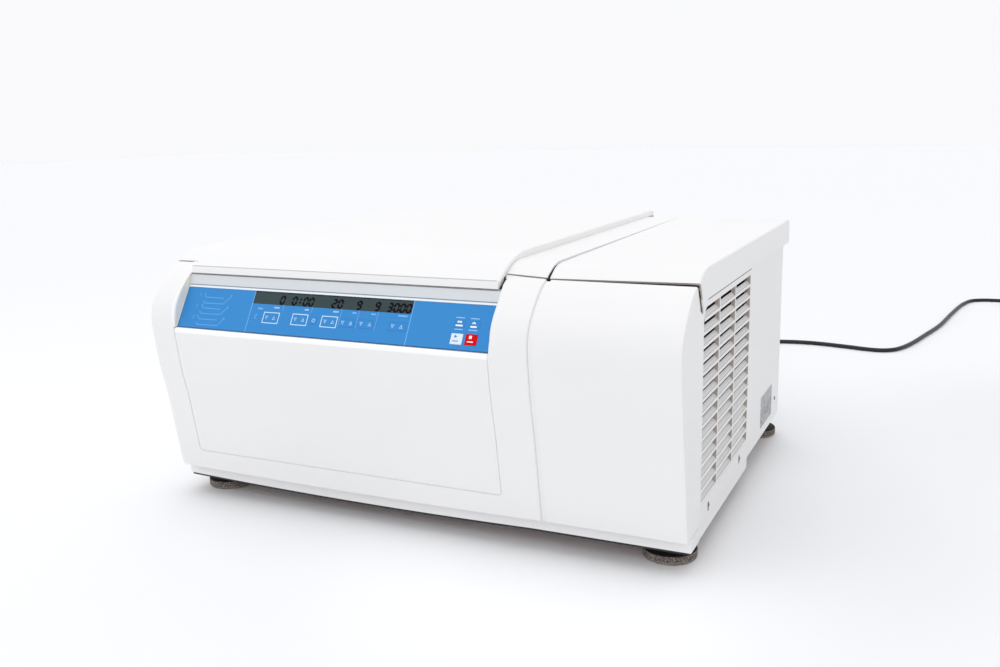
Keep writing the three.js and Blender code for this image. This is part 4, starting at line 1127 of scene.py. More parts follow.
def make_covers():
    for name, x0, x1, side, node_name in (("deck", -HALF_W, X_SPLIT, -HALF_W, "top_deck"), ("cover", X_FRIDGE, HALF_W, HALF_W, "fridge_top_cover")):
        o = obj_from(name + "_shell", mesh(lambda bm: prism_x(bm, cover_outline(Y_COVER_REAR), x0, x1)), "white_plastic")
        round_chain(o, cover_edge(side), 2.7, 5)
        ix0, ix1 = (-370.95, X_SPLIT + 1) if name == "deck" else (X_FRIDGE - 1, 370.95)
        cuts = [obj_from("c1", mesh(lambda bm: prism_x(bm, cover_inside(Y_COVER_REAR), ix0, ix1)), None)]
        if name == "cover":
            seam = [(190, -290), (194.9, -290), (194.5, -272), (193.6, -256), (192.8, -235), (192.5, -200), (192.45, 320), (190, 320)]
            cuts.append(obj_from("c4", mesh(lambda bm: prism_z(bm, seam, 290, 370)), None))
        if name == "deck":
            cuts.append(obj_from("c2", mesh(lambda bm: lathe(bm, [(0, 300), (221, 300), (221, 370), (0, 370)], 96, about_z(CX, CY))), None))
            cuts.append(obj_from("c3", mesh(lambda bm: prism_z(bm, round_rect(CX - 9, CX + 9, -234, -214, 3), 330, 370)), None))
        # beside the lid the deck's front edge runs back a little to the left; the cover's sits back all along
        cuts.append(front_trim(X_LID[1] + 0.6, X_SPLIT + 1, 3.4, 0.0) if name == "deck" else front_trim(X_FRIDGE - 2, HALF_W + 2, 2.2, 2.2))
        boolean(o, cuts)
        if name == "deck":  # a lip turned down along the joint with the cover
            lip = shifted(deck_line, -0.5)[1:] + [(Y_COVER_REAR - 3, Z_DECK - 0.5), (Y_COVER_REAR - 3, Z_DECK - 8)] + shifted(deck_line, -7.0)[2:][::-1]
            boolean(o, [obj_from("c6", mesh(lambda bm: prism_x(bm, lip, X_SPLIT - 2.4, X_SPLIT)), None)], "UNION")
        tidy(o)
        if name == "cover":
            bm = bmesh.new()
            bm.from_mesh(o.data)
            for axis, stops in ((0, (225, 262, 300, 337)), (1, (-262, -235, -195, -120, -20, 90, 200))):
                for c in stops:
                    co, no = [0, 0, 0], [0, 0, 0]
                    co[axis], no[axis] = c * MM, 1.0
                    bmesh.ops.bisect_plane(bm, geom=bm.verts[:] + bm.edges[:] + bm.faces[:], plane_co=co, plane_no=no, dist=1e-6)
            for v in bm.verts:
                x, y = v.co.x / MM, v.co.y / MM
                v.co.z -= COVER_DROP * MM * (1 - min(1.0, max(0.0, (x - X_FRIDGE) / 180.6))) * (1 - min(1.0, max(0.0, (y + 275) / 560)))
            bm.to_mesh(o.data)
            bm.free()
            for p in o.data.polygons:
                p.use_smooth = True
        # the covers' front end faces, facing forward and down, take a darker beige: painted shade
        o.data.materials.append(MATERIAL["end_face_shade"])
        for p in o.data.polygons:
            if p.normal.y < -0.75 and p.normal.z < -0.25 and p.center.z > 0.330:
                p.material_index = 1
        soften(o, 0.7, 3)
        place(o, replaces=(node_name,), slot="white_plastic")

    def joint(bm):  # a dark strip in the widest part of the joint between deck and cover: painted shade, standing in for the joint's dark inside
        line = [p for p in deck_line if p[0] < -243]
        upper = [(p[0], p[1] - 1.0 - 1.9 * i / (len(line) - 1)) for i, p in enumerate(line)]
        lower = [(p[0] + 2.0, p[1] - 8.5) for p in line]
        prism_x(bm, upper + lower[::-1], X_SPLIT + 0.02, X_SPLIT + 0.5)
    j = obj_from("cover_joint_shade", mesh(joint), "seal")
    sharp_by_angle(j, 30)
    place(j, slot="seal")


make_covers()


def make_lid():
    top = smooth_line(LID, 2.5)
    nose = [(-297.4, 323.6), (-296.9, 325.4), (-296.0, 330.4), (-295.5, 332.3), (-294.8, 333.2), (-293.8, 333.3), (-292.8, 332.5), (-291.6, 332.3)]
    rear = [(327, 360)] + arc(327.25, 350, 10, 84, 0, 8)[1:] + [(337.25, 342.2)]
    low = [(-294.2, 323.3), (-287.6, 328.2), (-273.6, 336.9), (-269.8, 339.8), (-262.6, 343.4), (-254.2, 347.6), (-245, 349.8), (-235, 350.9), (-224, 351.04), (333.9, 351.04), (333.9, 342.2)]
    loop = nose + top + rear + low[::-1]
    o = obj_from("lid_cover", mesh(lambda bm: prism_x(bm, loop, X_LID[0], X_LID[1])), "white_plastic")

    def edge(x):
        def picked(a, b):
            if abs(a[0] - x) > 0.01 or abs(b[0] - x) > 0.01:
                return False
            for v in (a, b):
                if v[1] < -200 and v[2] < 359.9:  # on the outer side of the nose
                    d = min(abs(v[1] - p[0]) + abs(v[2] - p[1]) for p in nose + top)
                    if d > 0.05:
                        return False
                elif v[2] < 341.9:
                    return False
                elif v[1] < 336.0 and v[2] < 355:
                    return False
            return True
        return picked

    round_chain(o, edge(X_LID[0]), 2.4, 4)
    round_chain(o, edge(X_LID[1]), 2.4, 4)
    roof = shifted(top, -3.0)
    hollow = [(-289, 320), (-289.6, 328.0)] + roof[1:] + [(331, 355.8), (333.9, 350), (333.9, 300), (-200, 300)]
    boolean(o, [obj_from("c1", mesh(lambda bm: prism_x(bm, hollow, X_LID[0] + 3, X_LID[1] - 3)), None)])
    tidy(o)
    o.data.materials.append(MATERIAL["lid_side_highlight"])
    o.data.materials.append(MATERIAL["crease_shade"])
    # the lid's right side faces take a lighter white, a painted highlight; a thin band along the nose's top takes a
    # darker grey, painted shade in the crease
    for p in o.data.polygons:
        c = p.center / MM
        if p.normal.x > 0.45 and c.x > X_LID[1] - 2.6:
            p.material_index = 1
        elif 331.9 < c.z < 333.45 and -295.6 < c.y < -293.7:
            p.material_index = 2
    soften(o, 0.6, 3)
    place(o, "lid", replaces=("lid_shell",), slot="white_plastic")

    def ears(bm):
        for x in (-292.0, 96.0):
            prism_x(bm, round_profile([(305, 357.2), (331, 357.2), (328, 331), (318, 326), (308, 331)], [0, 0, 3, 6, 3], 4, closed=True), x, x + 6)
    e = obj_from("lid_hinge_ears", mesh(ears), "steel_flat")
    boolean(e, [obj_from("c", mesh(lambda bm: [lathe(bm, [(0, x - 2), (4.4, x - 2), (4.4, x + 8), (0, x + 8)], 24, about_x(HINGE_Y, HINGE_Z)) for x in (-292.0, 96.0)]), None)])
    tidy(e)
    soften(e, 0.5, 2)
    place(e, "lid", slot="stainless")

    def liner(bm):
        prism_z(bm, round_rect(-324.4, 134.5, -222, 300, 8, 5), 352.3, 355.2)
    l = obj_from("lid_inner_panel", mesh(liner), "grey_plastic")
    soften(l, 0.5, 2)
    place(l, "lid", replaces=("lid_liner",), slot="grey_plastic")
    profile = round_profile([(0, 337), (168, 337), (176, 339.6), (190, 339.6), (198, 343), (202, 353), (0, 353)], [0, 3, 2, 3, 3, 0, 0], 4)
    d = obj_from("lid_plug_disc", mesh(lambda bm: lathe(bm, profile, 128, about_z(CX, CY))), "white_plastic")
    sharp_by_angle(d, 35)
    place(d, "lid", slot="grey_plastic")
    ringp = round_profile([(208.5, 352.2), (219, 352.2), (219, 353.5), (208.5, 353.5)], 0.4, 2, closed=True)
    r = obj_from("lid_seal_land", mesh(lambda bm: lathe(bm, ringp, 128, about_z(CX, CY))), "steel_flat")
    sharp_by_angle(r, 35)
    place(r, "lid", slot="grey_plastic")

    def screws(bm):
        for k in range(8):
            a = math.radians(22.5 + 45 * k)
            x, y = CX + 205.0 * math.cos(a), CY + 205.0 * math.sin(a)
            lathe(bm, [(0, 351.4), (1.0, 351.4), (2.6, 352.0), (2.6, 352.6), (0, 352.6)], 16, about_z(x, y))
    s = obj_from("lid_screws", mesh(screws), "screw")
    sharp_by_angle(s, 35)
    place(s, "lid", slot="stainless")
    hook = [(-231, 351.9), (-231, 314), (-227, 308), (-220, 308), (-220, 313), (-224.5, 315), (-224.5, 351.9)]
    h = obj_from("lid_catch", mesh(lambda bm: prism_x(bm, round_profile(hook, [0, 2, 1.5, 1.2, 1.2, 1, 0], 3, closed=True), CX - 5, CX + 5)), "steel_flat")
    soften(h, 0.5, 2)
    place(h, "lid", replaces=("lid_hook",), slot="stainless")
    base = obj_from("lid_catch_plate", mesh(lambda bm: prism_z(bm, round_rect(CX - 12, CX + 12, -233.5, -222.5, 3), 350.2, 352.6)), "steel_flat")
    soften(base, 0.4, 2)
    place(base, "lid", slot="stainless")


make_lid()


# ------------------------------------------------------------ sides and rear
X_PANEL = 370.6
GR = (-246.4, 16.6, 63.2, 316.5)


def make_sides():
    def outline(bm, x0, x1):
        loop = [(Y_SIDE + 0.3, 25.8), (22, 25.8), (22, 40.3), (Y_BODY_REAR, 40.3), (Y_BODY_REAR, 340), (Y_SIDE + 0.3, 340)]
        prism_x(bm, loop, x0, x1)

    o = obj_from("side_sheet_left", mesh(lambda bm: outline(bm, -X_PANEL, -X_PANEL + 1.5)), "white_paint")
    boolean(o, [box_cutter((-X_PANEL, -340, Y_BODY_REAR - 1.5, Y_BODY_REAR, 43.5, 312))], "UNION")
    tidy(o)
    soften(o, 0.5, 3)
    place(o, replaces=("left_side_panel",), slot="white_paint")

    o = obj_from("side_sheet_right", mesh(lambda bm: outline(bm, X_PANEL - 1.5, X_PANEL)), "white_paint")
    boolean(o, [box_cutter((360, 380, GR[0], GR[1], GR[2], GR[3]))])
    tidy(o)
    soften(o, 0.4, 2)
    place(o, replaces=("right_side_panel",), slot="white_paint")

    # louvred intake: frame, uprights and slats that lean in as they rise
    y0, y1, z0, z1 = GR[0] + 0.12, GR[1] - 0.12, GR[2] + 0.12, GR[3] - 0.12
    rows, low, high = 15, 66.5, 304.0
    pitch = (high - low) / rows
    bays = ((-243.1, -167.0), (-163.0, -80.5), (-76.5, 13.3))

    def frame_loop(bm):
        block(bm, 364.5, 370.5, y0, y1, z0, z1)

    o = obj_from("intake_louvres", mesh(frame_loop), "grille")

    def cells(bm):
        for k, (a, b) in enumerate(bays):
            loop = rect(a, b, low, high)
            if k == 0:  # the first corner follows the skirt above it
                loop = [(a, low), (b, low), (b, high)] + arc(a + 16, high - 16, 16, 90, 180, 10)
            prism_x(bm, loop, 360, 380)
    boolean(o, [obj_from("c", mesh(cells), None)])

    def slats(bm):
        for i in range(rows):
            z = low + i * pitch
            section = [(370.3, z + 0.2), (370.3, z + 3.1), (369.9, z + 3.6), (368.9, z + 4.2), (364.9, z + 8.0), (364.7, z + 7.0), (364.9, z + 6.4), (368.3, z + 2.6), (368.3, z + 0.2)]
            for a, b in bays:
                prism_y(bm, section, a - 1.0 if (i < rows - 1 or a > -200) else a + 3, b + 1.0)
    # the slats' sloped faces take a darker beige than the white lips: painted shade inside the louvres
    leaves = obj_from("intake_slats", mesh(slats), "slat")
    sharp_by_angle(leaves, 30)
    tidy(o)
    soften(o, 0.45, 2)
    o.data.materials.append(MATERIAL["white_plastic"])
    o.data.materials.append(MATERIAL["cell_wall_shade"])
    # the cells' inner walls take a darker warm grey, painted shade in the recesses; the outer face keeps the white
    # plastic
    for p in o.data.polygons:
        if p.normal.x > 0.9:
            p.material_index = 1
        elif p.normal.x < 0.3 and (GR[0] + 1.5) * MM < p.center.y < (GR[1] - 1.5) * MM and (GR[2] + 1.5) * MM < p.center.z < (GR[3] - 1.5) * MM:
            p.material_index = 2
    leaves.data.materials.append(MATERIAL["white_plastic"])
    for p in leaves.data.polygons:  # the upright lips catch the light
        if p.normal.x > 0.6:
            p.material_index = 1
    place(o, replaces=("side_grille",), slot="grille_plastic")
    place(leaves, slot="grille_plastic")
    # sheet strips that lead the air into the condenser
    guide = obj_from("air_guides", mesh(lambda bm: [block(bm, 344, 363, 6.5, 8.5, 62, 318), block(bm, 344, 363, -244, 6.4, 304, 306)]), "dark_fins")
    soften(guide, 0.3, 2)
    place(guide, slot="dark_plastic")

    # countersunk screws, and the blank rating plate
    def screws(bm):
        for y, z in ((-206, 55), (-32, 57), (229, 73)):
            lathe(bm, round_profile([(0, 370.4), (3.1, 370.4), (3.1, 370.9), (2.2, 371.7), (1.2, 371.7), (0.9, 370.9), (0, 370.9)], 0.2, 2), 24, about_x(y, z))
    o = obj_from("side_screws", mesh(screws), "screw")
    sharp_by_angle(o)
    place(o, slot="white_paint")
    def slots(bm):
        for x0, x1 in ((370.5, 370.72), (-370.72, -370.5)):
            for y, z in ((-206, 54), (-32, 56.5)):
                prism_x(bm, round_rect(y - 2.6, y + 2.6, z - 6.6, z + 6.0, 2.5, 5), x0, x1)
    d = obj_from("screw_slots", mesh(slots), "reveal")
    sharp_by_angle(d, 40)
    place(d, slot="dark_plastic")
    # a dark strip under the skirt's lower edge: painted shadow of the skirt
    line = obj_from("skirt_shadow_line", mesh(lambda bm: block(bm, 370.5, 370.94, -236, 16, 311.7, 314.42)), "reveal")
    sharp_by_angle(line, 40)
    place(line, slot="dark_plastic")
    plate = obj_from("rating_plate", mesh(lambda bm: loop_prism(bm, round_rect(116, 202, 55, 103, 2.5), lambda p: (370.45, p[0], p[1]), lambda p: (371.0, p[0], p[1]))), "plate")
    soften(plate, 0.2, 2)
    place(plate, slot="grey_plastic")

    def rivets(bm):
        for y in (119.5, 198.5):
            for z in (58.5, 99.5):
                lathe(bm, [(0, 370.9), (1.6, 370.9), (1.4, 371.4), (0, 371.6)], 14, about_x(y, z))
    r = obj_from("plate_rivets", mesh(rivets), "steel_flat")
    sharp_by_angle(r, 60)
    place(r, slot="grey_plastic")

    def left_screws(bm):
        for y, z in ((-206, 55), (-32, 57), (229, 73)):
            lathe(bm, round_profile([(0, -370.4), (3.1, -370.4), (3.1, -370.9), (2.2, -371.7), (1.2, -371.7), (0.9, -370.9), (0, -370.9)], 0.2, 2), 24, about_x(y, z))
    o = obj_from("side_screws_left", mesh(left_screws), "screw")
    sharp_by_angle(o)
    place(o, slot="white_paint")


make_sides()


def make_rear():
    sx, sz = 300.0, 92.0
    o = obj_from("rear_sheet", mesh(lambda bm: block(bm, -339.6, 368.8, 262.15, Y_BODY_REAR, 43.5, 336)), "grey_plastic")

    def holes(bm):
        prism_y(bm, rect(sx - 11.5, sx + 11.5, sz - 15.5, sz + 15.5), 255, 270)
        prism_y(bm, disc(225, 78, 12.6, 32), 255, 270)
        for i in range(9):
            prism_y(bm, round_rect(190 + i * 18, 198 + i * 18, 150, 285, 3.9, 5), 255, 270)
        for i in range(7):
            prism_y(bm, round_rect(-150 + i * 18, -142 + i * 18, 60, 120, 3.9, 5), 255, 270)

    boolean(o, [obj_from("c", mesh(holes), None)])
    tidy(o)
    soften(o, 0.35, 2)
    place(o, replaces=("rear_panel",), slot="grey_plastic")

    def screws(bm):
        for x, z in ((-330, 60), (-330, 300), (-180, 300), (0, 300), (150, 60), (150, 300), (358, 60), (358, 300)):
            lathe(bm, round_profile([(0, Y_BODY_REAR - 0.2), (3.6, Y_BODY_REAR - 0.2), (3.6, Y_BODY_REAR + 0.9), (2.6, Y_BODY_REAR + 2.0), (1.3, Y_BODY_REAR + 2.0), (1.0, Y_BODY_REAR + 1.0), (0, Y_BODY_REAR + 1.0)], 0.25, 2), 20, about_y(x, z))
    o = obj_from("rear_screws", mesh(screws), "screw")
    sharp_by_angle(o)
    place(o, slot="grey_plastic")

    # switch: frame with a raised rim, rocker with a dished face
    def frame_build(bm):
        outer = round_rect(sx - 13.5, sx + 13.5, sz - 18, sz + 18, 2.2)
        prism_y(bm, outer, Y_BODY_REAR + 0.1, Y_BODY_REAR + 2.3)
        prism_y(bm, rect(sx - 11.2, sx + 11.2, sz - 15.2, sz + 15.2), 240, Y_BODY_REAR + 1)
    f = obj_from("switch_bezel", mesh(lambda bm: prism_y(bm, round_rect(sx - 13.5, sx + 13.5, sz - 18, sz + 18, 2.2), Y_BODY_REAR + 0.1, Y_BODY_REAR + 2.3)), "dark_plastic")
    boolean(f, [obj_from("c", mesh(lambda bm: prism_y(bm, rect(sx - 11.2, sx + 11.2, sz - 15.2, sz + 15.2), 240, Y_BODY_REAR + 1)), None)], "UNION")
    boolean(f, [obj_from("c", mesh(lambda bm: prism_y(bm, rect(sx - 10.2, sx + 10.2, sz - 14.8, sz + 14.8), 242, 275)), None)])
    tidy(f)
    soften(f, 0.5, 2)
    place(f, replaces=("switch_frame",), slot="dark_plastic")

    tilt = math.radians(6)

    def turn(p):  # about the switch's pivot, in (y, z)
        return (262 + p[0] * math.cos(tilt) - p[1] * math.sin(tilt), sz + p[0] * math.sin(tilt) + p[1] * math.cos(tilt))

    face = [(-8, -8), (-8, 8), (0.5, 11.2), (4.3, 13.0), (3.7, 8), (3.3, 3.5), (3.2, 0), (3.3, -3.5), (3.7, -8), (4.3, -13.0), (0.5, -11.2)]
    s = obj_from("rocker", mesh(lambda bm: prism_x(bm, [turn(p) for p in face], sx - 9.7, sx + 9.7)), "dark_plastic")
    soften(s, 0.5, 2)
    place(s, "rocker_switch", replaces=("mains_switch",), slot="dark_plastic")

    def marks(bm):  # a bar for on, a ring for off
        def at(u, w, h):
            y, z = turn((h, w))
            return (sx + u, y, z)
        def plate2(loop, h0, h1):
            loop_prism(bm, loop, lambda p: at(p[0], p[1], h0(p[1])), lambda p: at(p[0], p[1], h1(p[1])))
        def surface(w):
            return 3.2 + (abs(w) / 13.0) ** 2 * 1.05 + 0.02
        plate2(rect(-0.5, 0.5, -9.0, -5.4), lambda w: surface(w) - 0.2, lambda w: surface(w) + 0.08)
        ring = 20
        for k in range(ring):
            a, b = 2 * math.pi * k / ring, 2 * math.pi * (k + 1) / ring
            plate2([(1.5 * math.cos(a), 7.2 + 1.9 * math.sin(a)), (2.1 * math.cos(a), 7.2 + 2.5 * math.sin(a)), (2.1 * math.cos(b), 7.2 + 2.5 * math.sin(b)), (1.5 * math.cos(b), 7.2 + 1.9 * math.sin(b))],
                   lambda w: surface(w) - 0.2, lambda w: surface(w) + 0.08)
    m = obj_from("rocker_marks", mesh(marks), "print_white", smooth=False)
    place(m, "rocker_switch", slot="dark_plastic")


make_rear()


# -------------------------------------------------------------- base and feet
def make_base():
    tray = [(-371.3, -287.35), (371.3, -287.35), (371.3, -249.5), (361, -249.5), (361, 263.2), (-361, 263.2), (-361, -249.5), (-371.3, -249.5)]
    o = obj_from("base_tray", mesh(lambda bm: prism_z(bm, tray, 25.8, 43.1)), "white_paint")
    boolean(o, [box_cutter((-345, 345, 255, 296, 25.8, 36))], "UNION")
    boolean(o, [box_cutter((-369.5, 369.5, -285.5, -251.3, 27.6, 50)), box_cutter((-359.2, 359.2, -260, 261.4, 27.6, 50)), box_cutter((-343.2, 343.2, 263.2, 294.2, 27.6, 50))])

    def slots(bm):
        for i in range(10):
            prism_z(bm, round_rect(210 + i * 14, 217 + i * 14, -120, -40, 3.4, 4), 20, 40)
    boolean(o, [obj_from("c", mesh(slots), None)])
    tidy(o)
    hang(o, 4.3, 31, -281)
    o.data.materials.append(MATERIAL["pan_under_shade"])
    o.data.materials.append(MATERIAL["pan_front"])
    # the underside takes a dark brown, painted shade that deepens the shadow on the floor beneath; the front band takes
    # a lighter white, painted light
    for p in o.data.polygons:
        if p.normal.z < -0.9 and p.center.z < 26.5 * MM:
            p.material_index = 1
        elif p.normal.y < -0.9 and p.center.y < -287 * MM:
            p.material_index = 2
    soften(o, 0.8, 3)
    place(o, replaces=("base_pan",), slot="white_paint")

    # dark strips along and under the pan's front lower edge: painted shadow beneath the edge
    lip = obj_from("pan_edge_shadow_strip", mesh(lambda bm: [block(bm, -368.5, 368.5, -286.4, -284.2, 22.9, 25.9), block(bm, -367, 367, -283.9, -279, 25.2, 25.85)]), "seal")
    hang(lip, 4.3, 31, -281)
    soften(lip, 0.25, 2)
    place(lip, slot="dark_plastic")

    for name, x, y in (("foot_front_left", -334, -243), ("foot_front_right", 334, -243), ("foot_rear_left", -334, 267), ("foot_rear_right", 334, 267)):
        profile = [(0, 0.0), (27.0, 0.0), (27.6, 0.5), (28.6, 0.5), (29.2, 0.0), (31.4, 0.0), (32.8, 1.3), (33.0, 3.0), (32.7, 3.7), (33.0, 4.4), (33.0, 9.4), (32.8, 11.0), (31.8, 12.0),
                   (12, 12.3), (9.4, 14), (9, 15), (9, 25.5), (0, 25.5)]
        f = obj_from(name + "_pad", mesh(lambda bm: lathe(bm, round_profile(profile, 0.4, 2), 64, about_z(x, y))), "rubber_foot")
        f.data.materials.append(MATERIAL["foot_top_shade"])
        f.data.materials.append(MATERIAL["foot_low"])
        # the top face is near black, painted shade under the pan; the lower rim is paler
        for p in f.data.polygons:
            if p.center.z > 11.2 * MM:
                p.material_index = 1
            elif p.center.z < 3.4 * MM:
                p.material_index = 2
        sharp_by_angle(f, 50)
        place(f, replaces=(name,), slot="foot_rubber")
        n = obj_from(name + "_nut", mesh(lambda bm: prism_z(bm, [(x + 12.2 * math.cos(math.radians(60 * k + 10)), y + 12.2 * math.sin(math.radians(60 * k + 10))) for k in range(6)], 18.4, 25.3)), "steel_flat")
        soften(n, 0.6, 2)
        place(n, slot="foot_rubber")


make_base()


# ----------------------------------------------------------- chamber and rotor
def make_chamber():
    bowl = [(20, 131.5), (190, 131.5), (200, 135), (205, 146), (205, 345.9), (219.5, 345.9), (219.5, 344.3), (206.6, 344.3), (206.6, 146), (201.3, 133.8), (190.6, 129.9), (20, 129.9)]
    radii = [0.3, 6, 9, 14, 1.2, 0.4, 0.4, 0.4, 12, 8, 5, 0.3]
    o = obj_from("bowl", mesh(lambda bm: lathe(bm, round_profile(bowl, radii, 6, closed=True), 160, about_z(CX, CY))), "steel")
    sharp_by_angle(o, 40)
    place(o, replaces=("chamber_bowl",), slot="stainless")
    gasket = [(209, 346.3), (218, 346.3), (218, 348.4), (216.8, 349.0), (217.2, 351.5), (214.8, 351.8), (213.6, 350.0), (212.4, 351.7), (210.2, 351.2), (210.6, 349.0), (209, 348.4)]
    o = obj_from("bowl_seal", mesh(lambda bm: lathe(bm, round_profile(gasket, 0.5, 3, closed=True), 128, about_z(CX, CY))), "seal")
    sharp_by_angle(o, 50)
    place(o, replaces=("chamber_gasket",), slot="seal")
    shell = [(34, 112), (230, 112), (230, 343.8), (219, 343.8), (219, 127.5), (34, 127.5)]
    o = obj_from("foam_shell", mesh(lambda bm: lathe(bm, round_profile(shell, 2, 3, closed=True), 96, about_z(CX, CY))), "foam")
    sharp_by_angle(o, 40)
    place(o, replaces=("insulation_shell",), slot="foam")

    curve = bpy.data.curves.new("evaporator_tube", "CURVE")
    curve.dimensions, curve.bevel_depth, curve.bevel_resolution, curve.resolution_u = "3D", 0.0034, 3, 3
    s = curve.splines.new("POLY")
    n = 3 * 48 + 1
    s.points.add(n - 1)
    for i in range(n):
        a = 2 * math.pi * i / 48
        s.points[i].co = ((CX + 213 * math.cos(a)) * MM, (CY + 213 * math.sin(a)) * MM, (165 + 140 * i / (n - 1)) * MM, 1)
    curve.use_fill_caps = True
    curve.materials.append(MATERIAL["copper"])
    e = bpy.data.objects.new("evaporator_tube", curve)
    bpy.context.scene.collection.objects.link(e)
    place(e, replaces=("evaporator_coil",), slot="copper")

    motor = [(0, 28), (52, 28), (52, 36), (62, 42), (62, 98), (52, 106), (27, 108), (27, 126), (12.6, 126), (12.6, 60), (0, 60)]
    o = obj_from("motor_housing", mesh(lambda bm: lathe(bm, round_profile(motor, [0, 2, 2, 3, 3, 3, 2, 1.5, 0.4, 0.4, 0], 4), 96, about_z(CX, CY))), "alloy")
    sharp_by_angle(o, 40)
    place(o, replaces=("drive_motor",), slot="alloy")
    spindle = [(0, 62), (9, 62), (12, 64), (12, 200), (10.5, 252), (8, 254), (0, 254)]
    o = obj_from("spindle", mesh(lambda bm: lathe(bm, round_profile(spindle, 0.8, 3), 64, about_z(CX, CY))), "steel")
    sharp_by_angle(o, 40)
    place(o, "rotor", replaces=("drive_spindle",), slot="stainless")

    hub = [(12.5, 206), (30, 206), (34, 212), (34, 240), (28, 247), (12.5, 247)]
    o = obj_from("rotor_cross", mesh(lambda bm: lathe(bm, hub, 64, about_z(CX, CY))), "anodised")

    def quarter(k, pts):
        c, s_ = round(math.cos(math.pi * k / 2)), round(math.sin(math.pi * k / 2))
        return [(CX + x * c - y * s_, CY + x * s_ + y * c) for x, y in pts]

    for k in range(4):
        fork = round_profile([(56.4, 56.4), (122, 56.4), (122, 68), (82, 82), (68, 122), (56.4, 122)], [0, 4, 4, 14, 4, 4], 5, closed=True)
        boolean(o, [obj_from("c", mesh(lambda bm: prism_z(bm, quarter(k, fork), PZ - 11, PZ + 11)), None)], "UNION")
        boolean(o, [obj_from("c", mesh(lambda bm: prism_z(bm, quarter(k, [(14, 32), (32, 14), (72, 54), (54, 72)]), PZ - 13, PZ + 6)), None)], "UNION")

    def light_holes(bm):  # recesses that lighten the arms, and the bore
        for k in range(4):
            x, y = quarter(k, [(45, 45)])[0]
            lathe(bm, [(0, PZ + 2), (7, PZ + 2), (7, PZ + 20), (0, PZ + 20)], 32, about_z(x, y))
            x, y = quarter(k, [(70, 70)])[0]
            lathe(bm, [(0, PZ + 6), (8, PZ + 6), (8, PZ + 20), (0, PZ + 20)], 32, about_z(x, y))
    boolean(o, [obj_from("c", mesh(light_holes), None)])
    boolean(o, [obj_from("c", mesh(lambda bm: lathe(bm, [(0, 200), (12.45, 200), (12.45, 250), (0, 250)], 64, about_z(CX, CY))), None)])
    tidy(o)
    soften(o, 1.0, 3)
    place(o, "rotor", replaces=("rotor_body",), slot="alloy")

    def pins(bm):
        for k in range(4):
            a = math.pi / 2 * k
            for sgn in (1, -1):
                def put(p, a=a, sgn=sgn):
                    x, y = PIVOT + p[0], sgn * p[2]
                    return (CX + x * math.cos(a) - y * math.sin(a), CY + x * math.sin(a) + y * math.cos(a), PZ + p[1])
                lathe(bm, round_profile([(0, 48.4), (5, 48.4), (5, 58), (0, 58)], 0.6, 3), 32, put)
    o = obj_from("rotor_pins", mesh(pins), "steel_flat")
    sharp_by_angle(o, 40)
    place(o, "rotor", slot="alloy")

    nut = [(0, 258), (12.4, 258), (12.4, 247.4), (24, 247.4), (25, 249), (25, 262), (22, 266), (8, 266), (7, 264.6), (0, 264.6)]
    o = obj_from("rotor_lock_nut", mesh(lambda bm: lathe(bm, round_profile(nut, [0, .4, .4, 1, 1, 1.5, 1.5, .6, .6, 0], 3), 72, about_z(CX, CY))), "dark_plastic")
    def flutes(bm):
        for k in range(12):
            a = 2 * math.pi * k / 12
            prism_z(bm, disc(CX + 26.2 * math.cos(a), CY + 26.2 * math.sin(a), 2.6, 16), 246, 264.5)
    boolean(o, [obj_from("c", mesh(flutes), None)])
    tidy(o)
    soften(o, 0.4, 2, 35)
    place(o, "rotor", replaces=("rotor_nut",), slot="dark_plastic")

    for k, body in enumerate(("bucket_a", "bucket_b", "bucket_c", "bucket_d")):
        a = math.pi / 2 * k
        bx, by = CX + PIVOT * math.cos(a), CY + PIVOT * math.sin(a)
        cup = [(0, -90), (31, -90), (40, -86), (45, -76), (45, 14), (45.0, 20), (41.8, 20), (41.8, -74), (37, -84), (0, -85)]
        b = obj_from("bucket_%d_cup" % (k + 1), mesh(lambda bm: lathe(bm, [(r, PZ + z) for r, z in round_profile(cup, [0, 3, 8, 10, 0.5, 1.2, 1.2, 8, 5, 0], 5)], 72, about_z(bx, by))), "steel")

        def bosses(bm, a=a, bx=bx, by=by):
            for sgn in (1, -1):
                def put(p, sgn=sgn):
                    x, y = p[0], sgn * p[2]
                    return (bx + x * math.cos(a) - y * math.sin(a), by + x * math.sin(a) + y * math.cos(a), PZ + p[1])
                lathe(bm, [(0, 42.6), (10, 42.6), (10, 54.8), (9.2, 55.8), (0, 55.8)], 32, put)

        def sockets(bm, a=a, bx=bx, by=by):
            for sgn in (1, -1):
                def put(p, sgn=sgn):
                    x, y = p[0], sgn * p[2]
                    return (bx + x * math.cos(a) - y * math.sin(a), by + x * math.sin(a) + y * math.cos(a), PZ + p[1])
                outline = [(-5.4, -14.0), (5.4, -14.0)] + arc(0, 0, 5.4, 0, 180, 12)
                loop_prism(bm, outline if sgn > 0 else outline[::-1], lambda p: put((p[0], p[1], 47.6)), lambda p: put((p[0], p[1], 60.0)))

        boolean(b, [obj_from("c", mesh(bosses), None)], "UNION")
        boolean(b, [obj_from("c", mesh(sockets), None)])
        boolean(b, [obj_from("c", mesh(lambda bm: lathe(bm, [(0, PZ - 70), (41.7, PZ - 70), (41.7, PZ + 30), (0, PZ + 30)], 72, about_z(bx, by))), None)])
        tidy(b, 0.2)
        soften(b, 0.5, 2, 35)
        place(b, body, replaces=("bucket_%d" % (k + 1),), slot="stainless")


make_chamber()


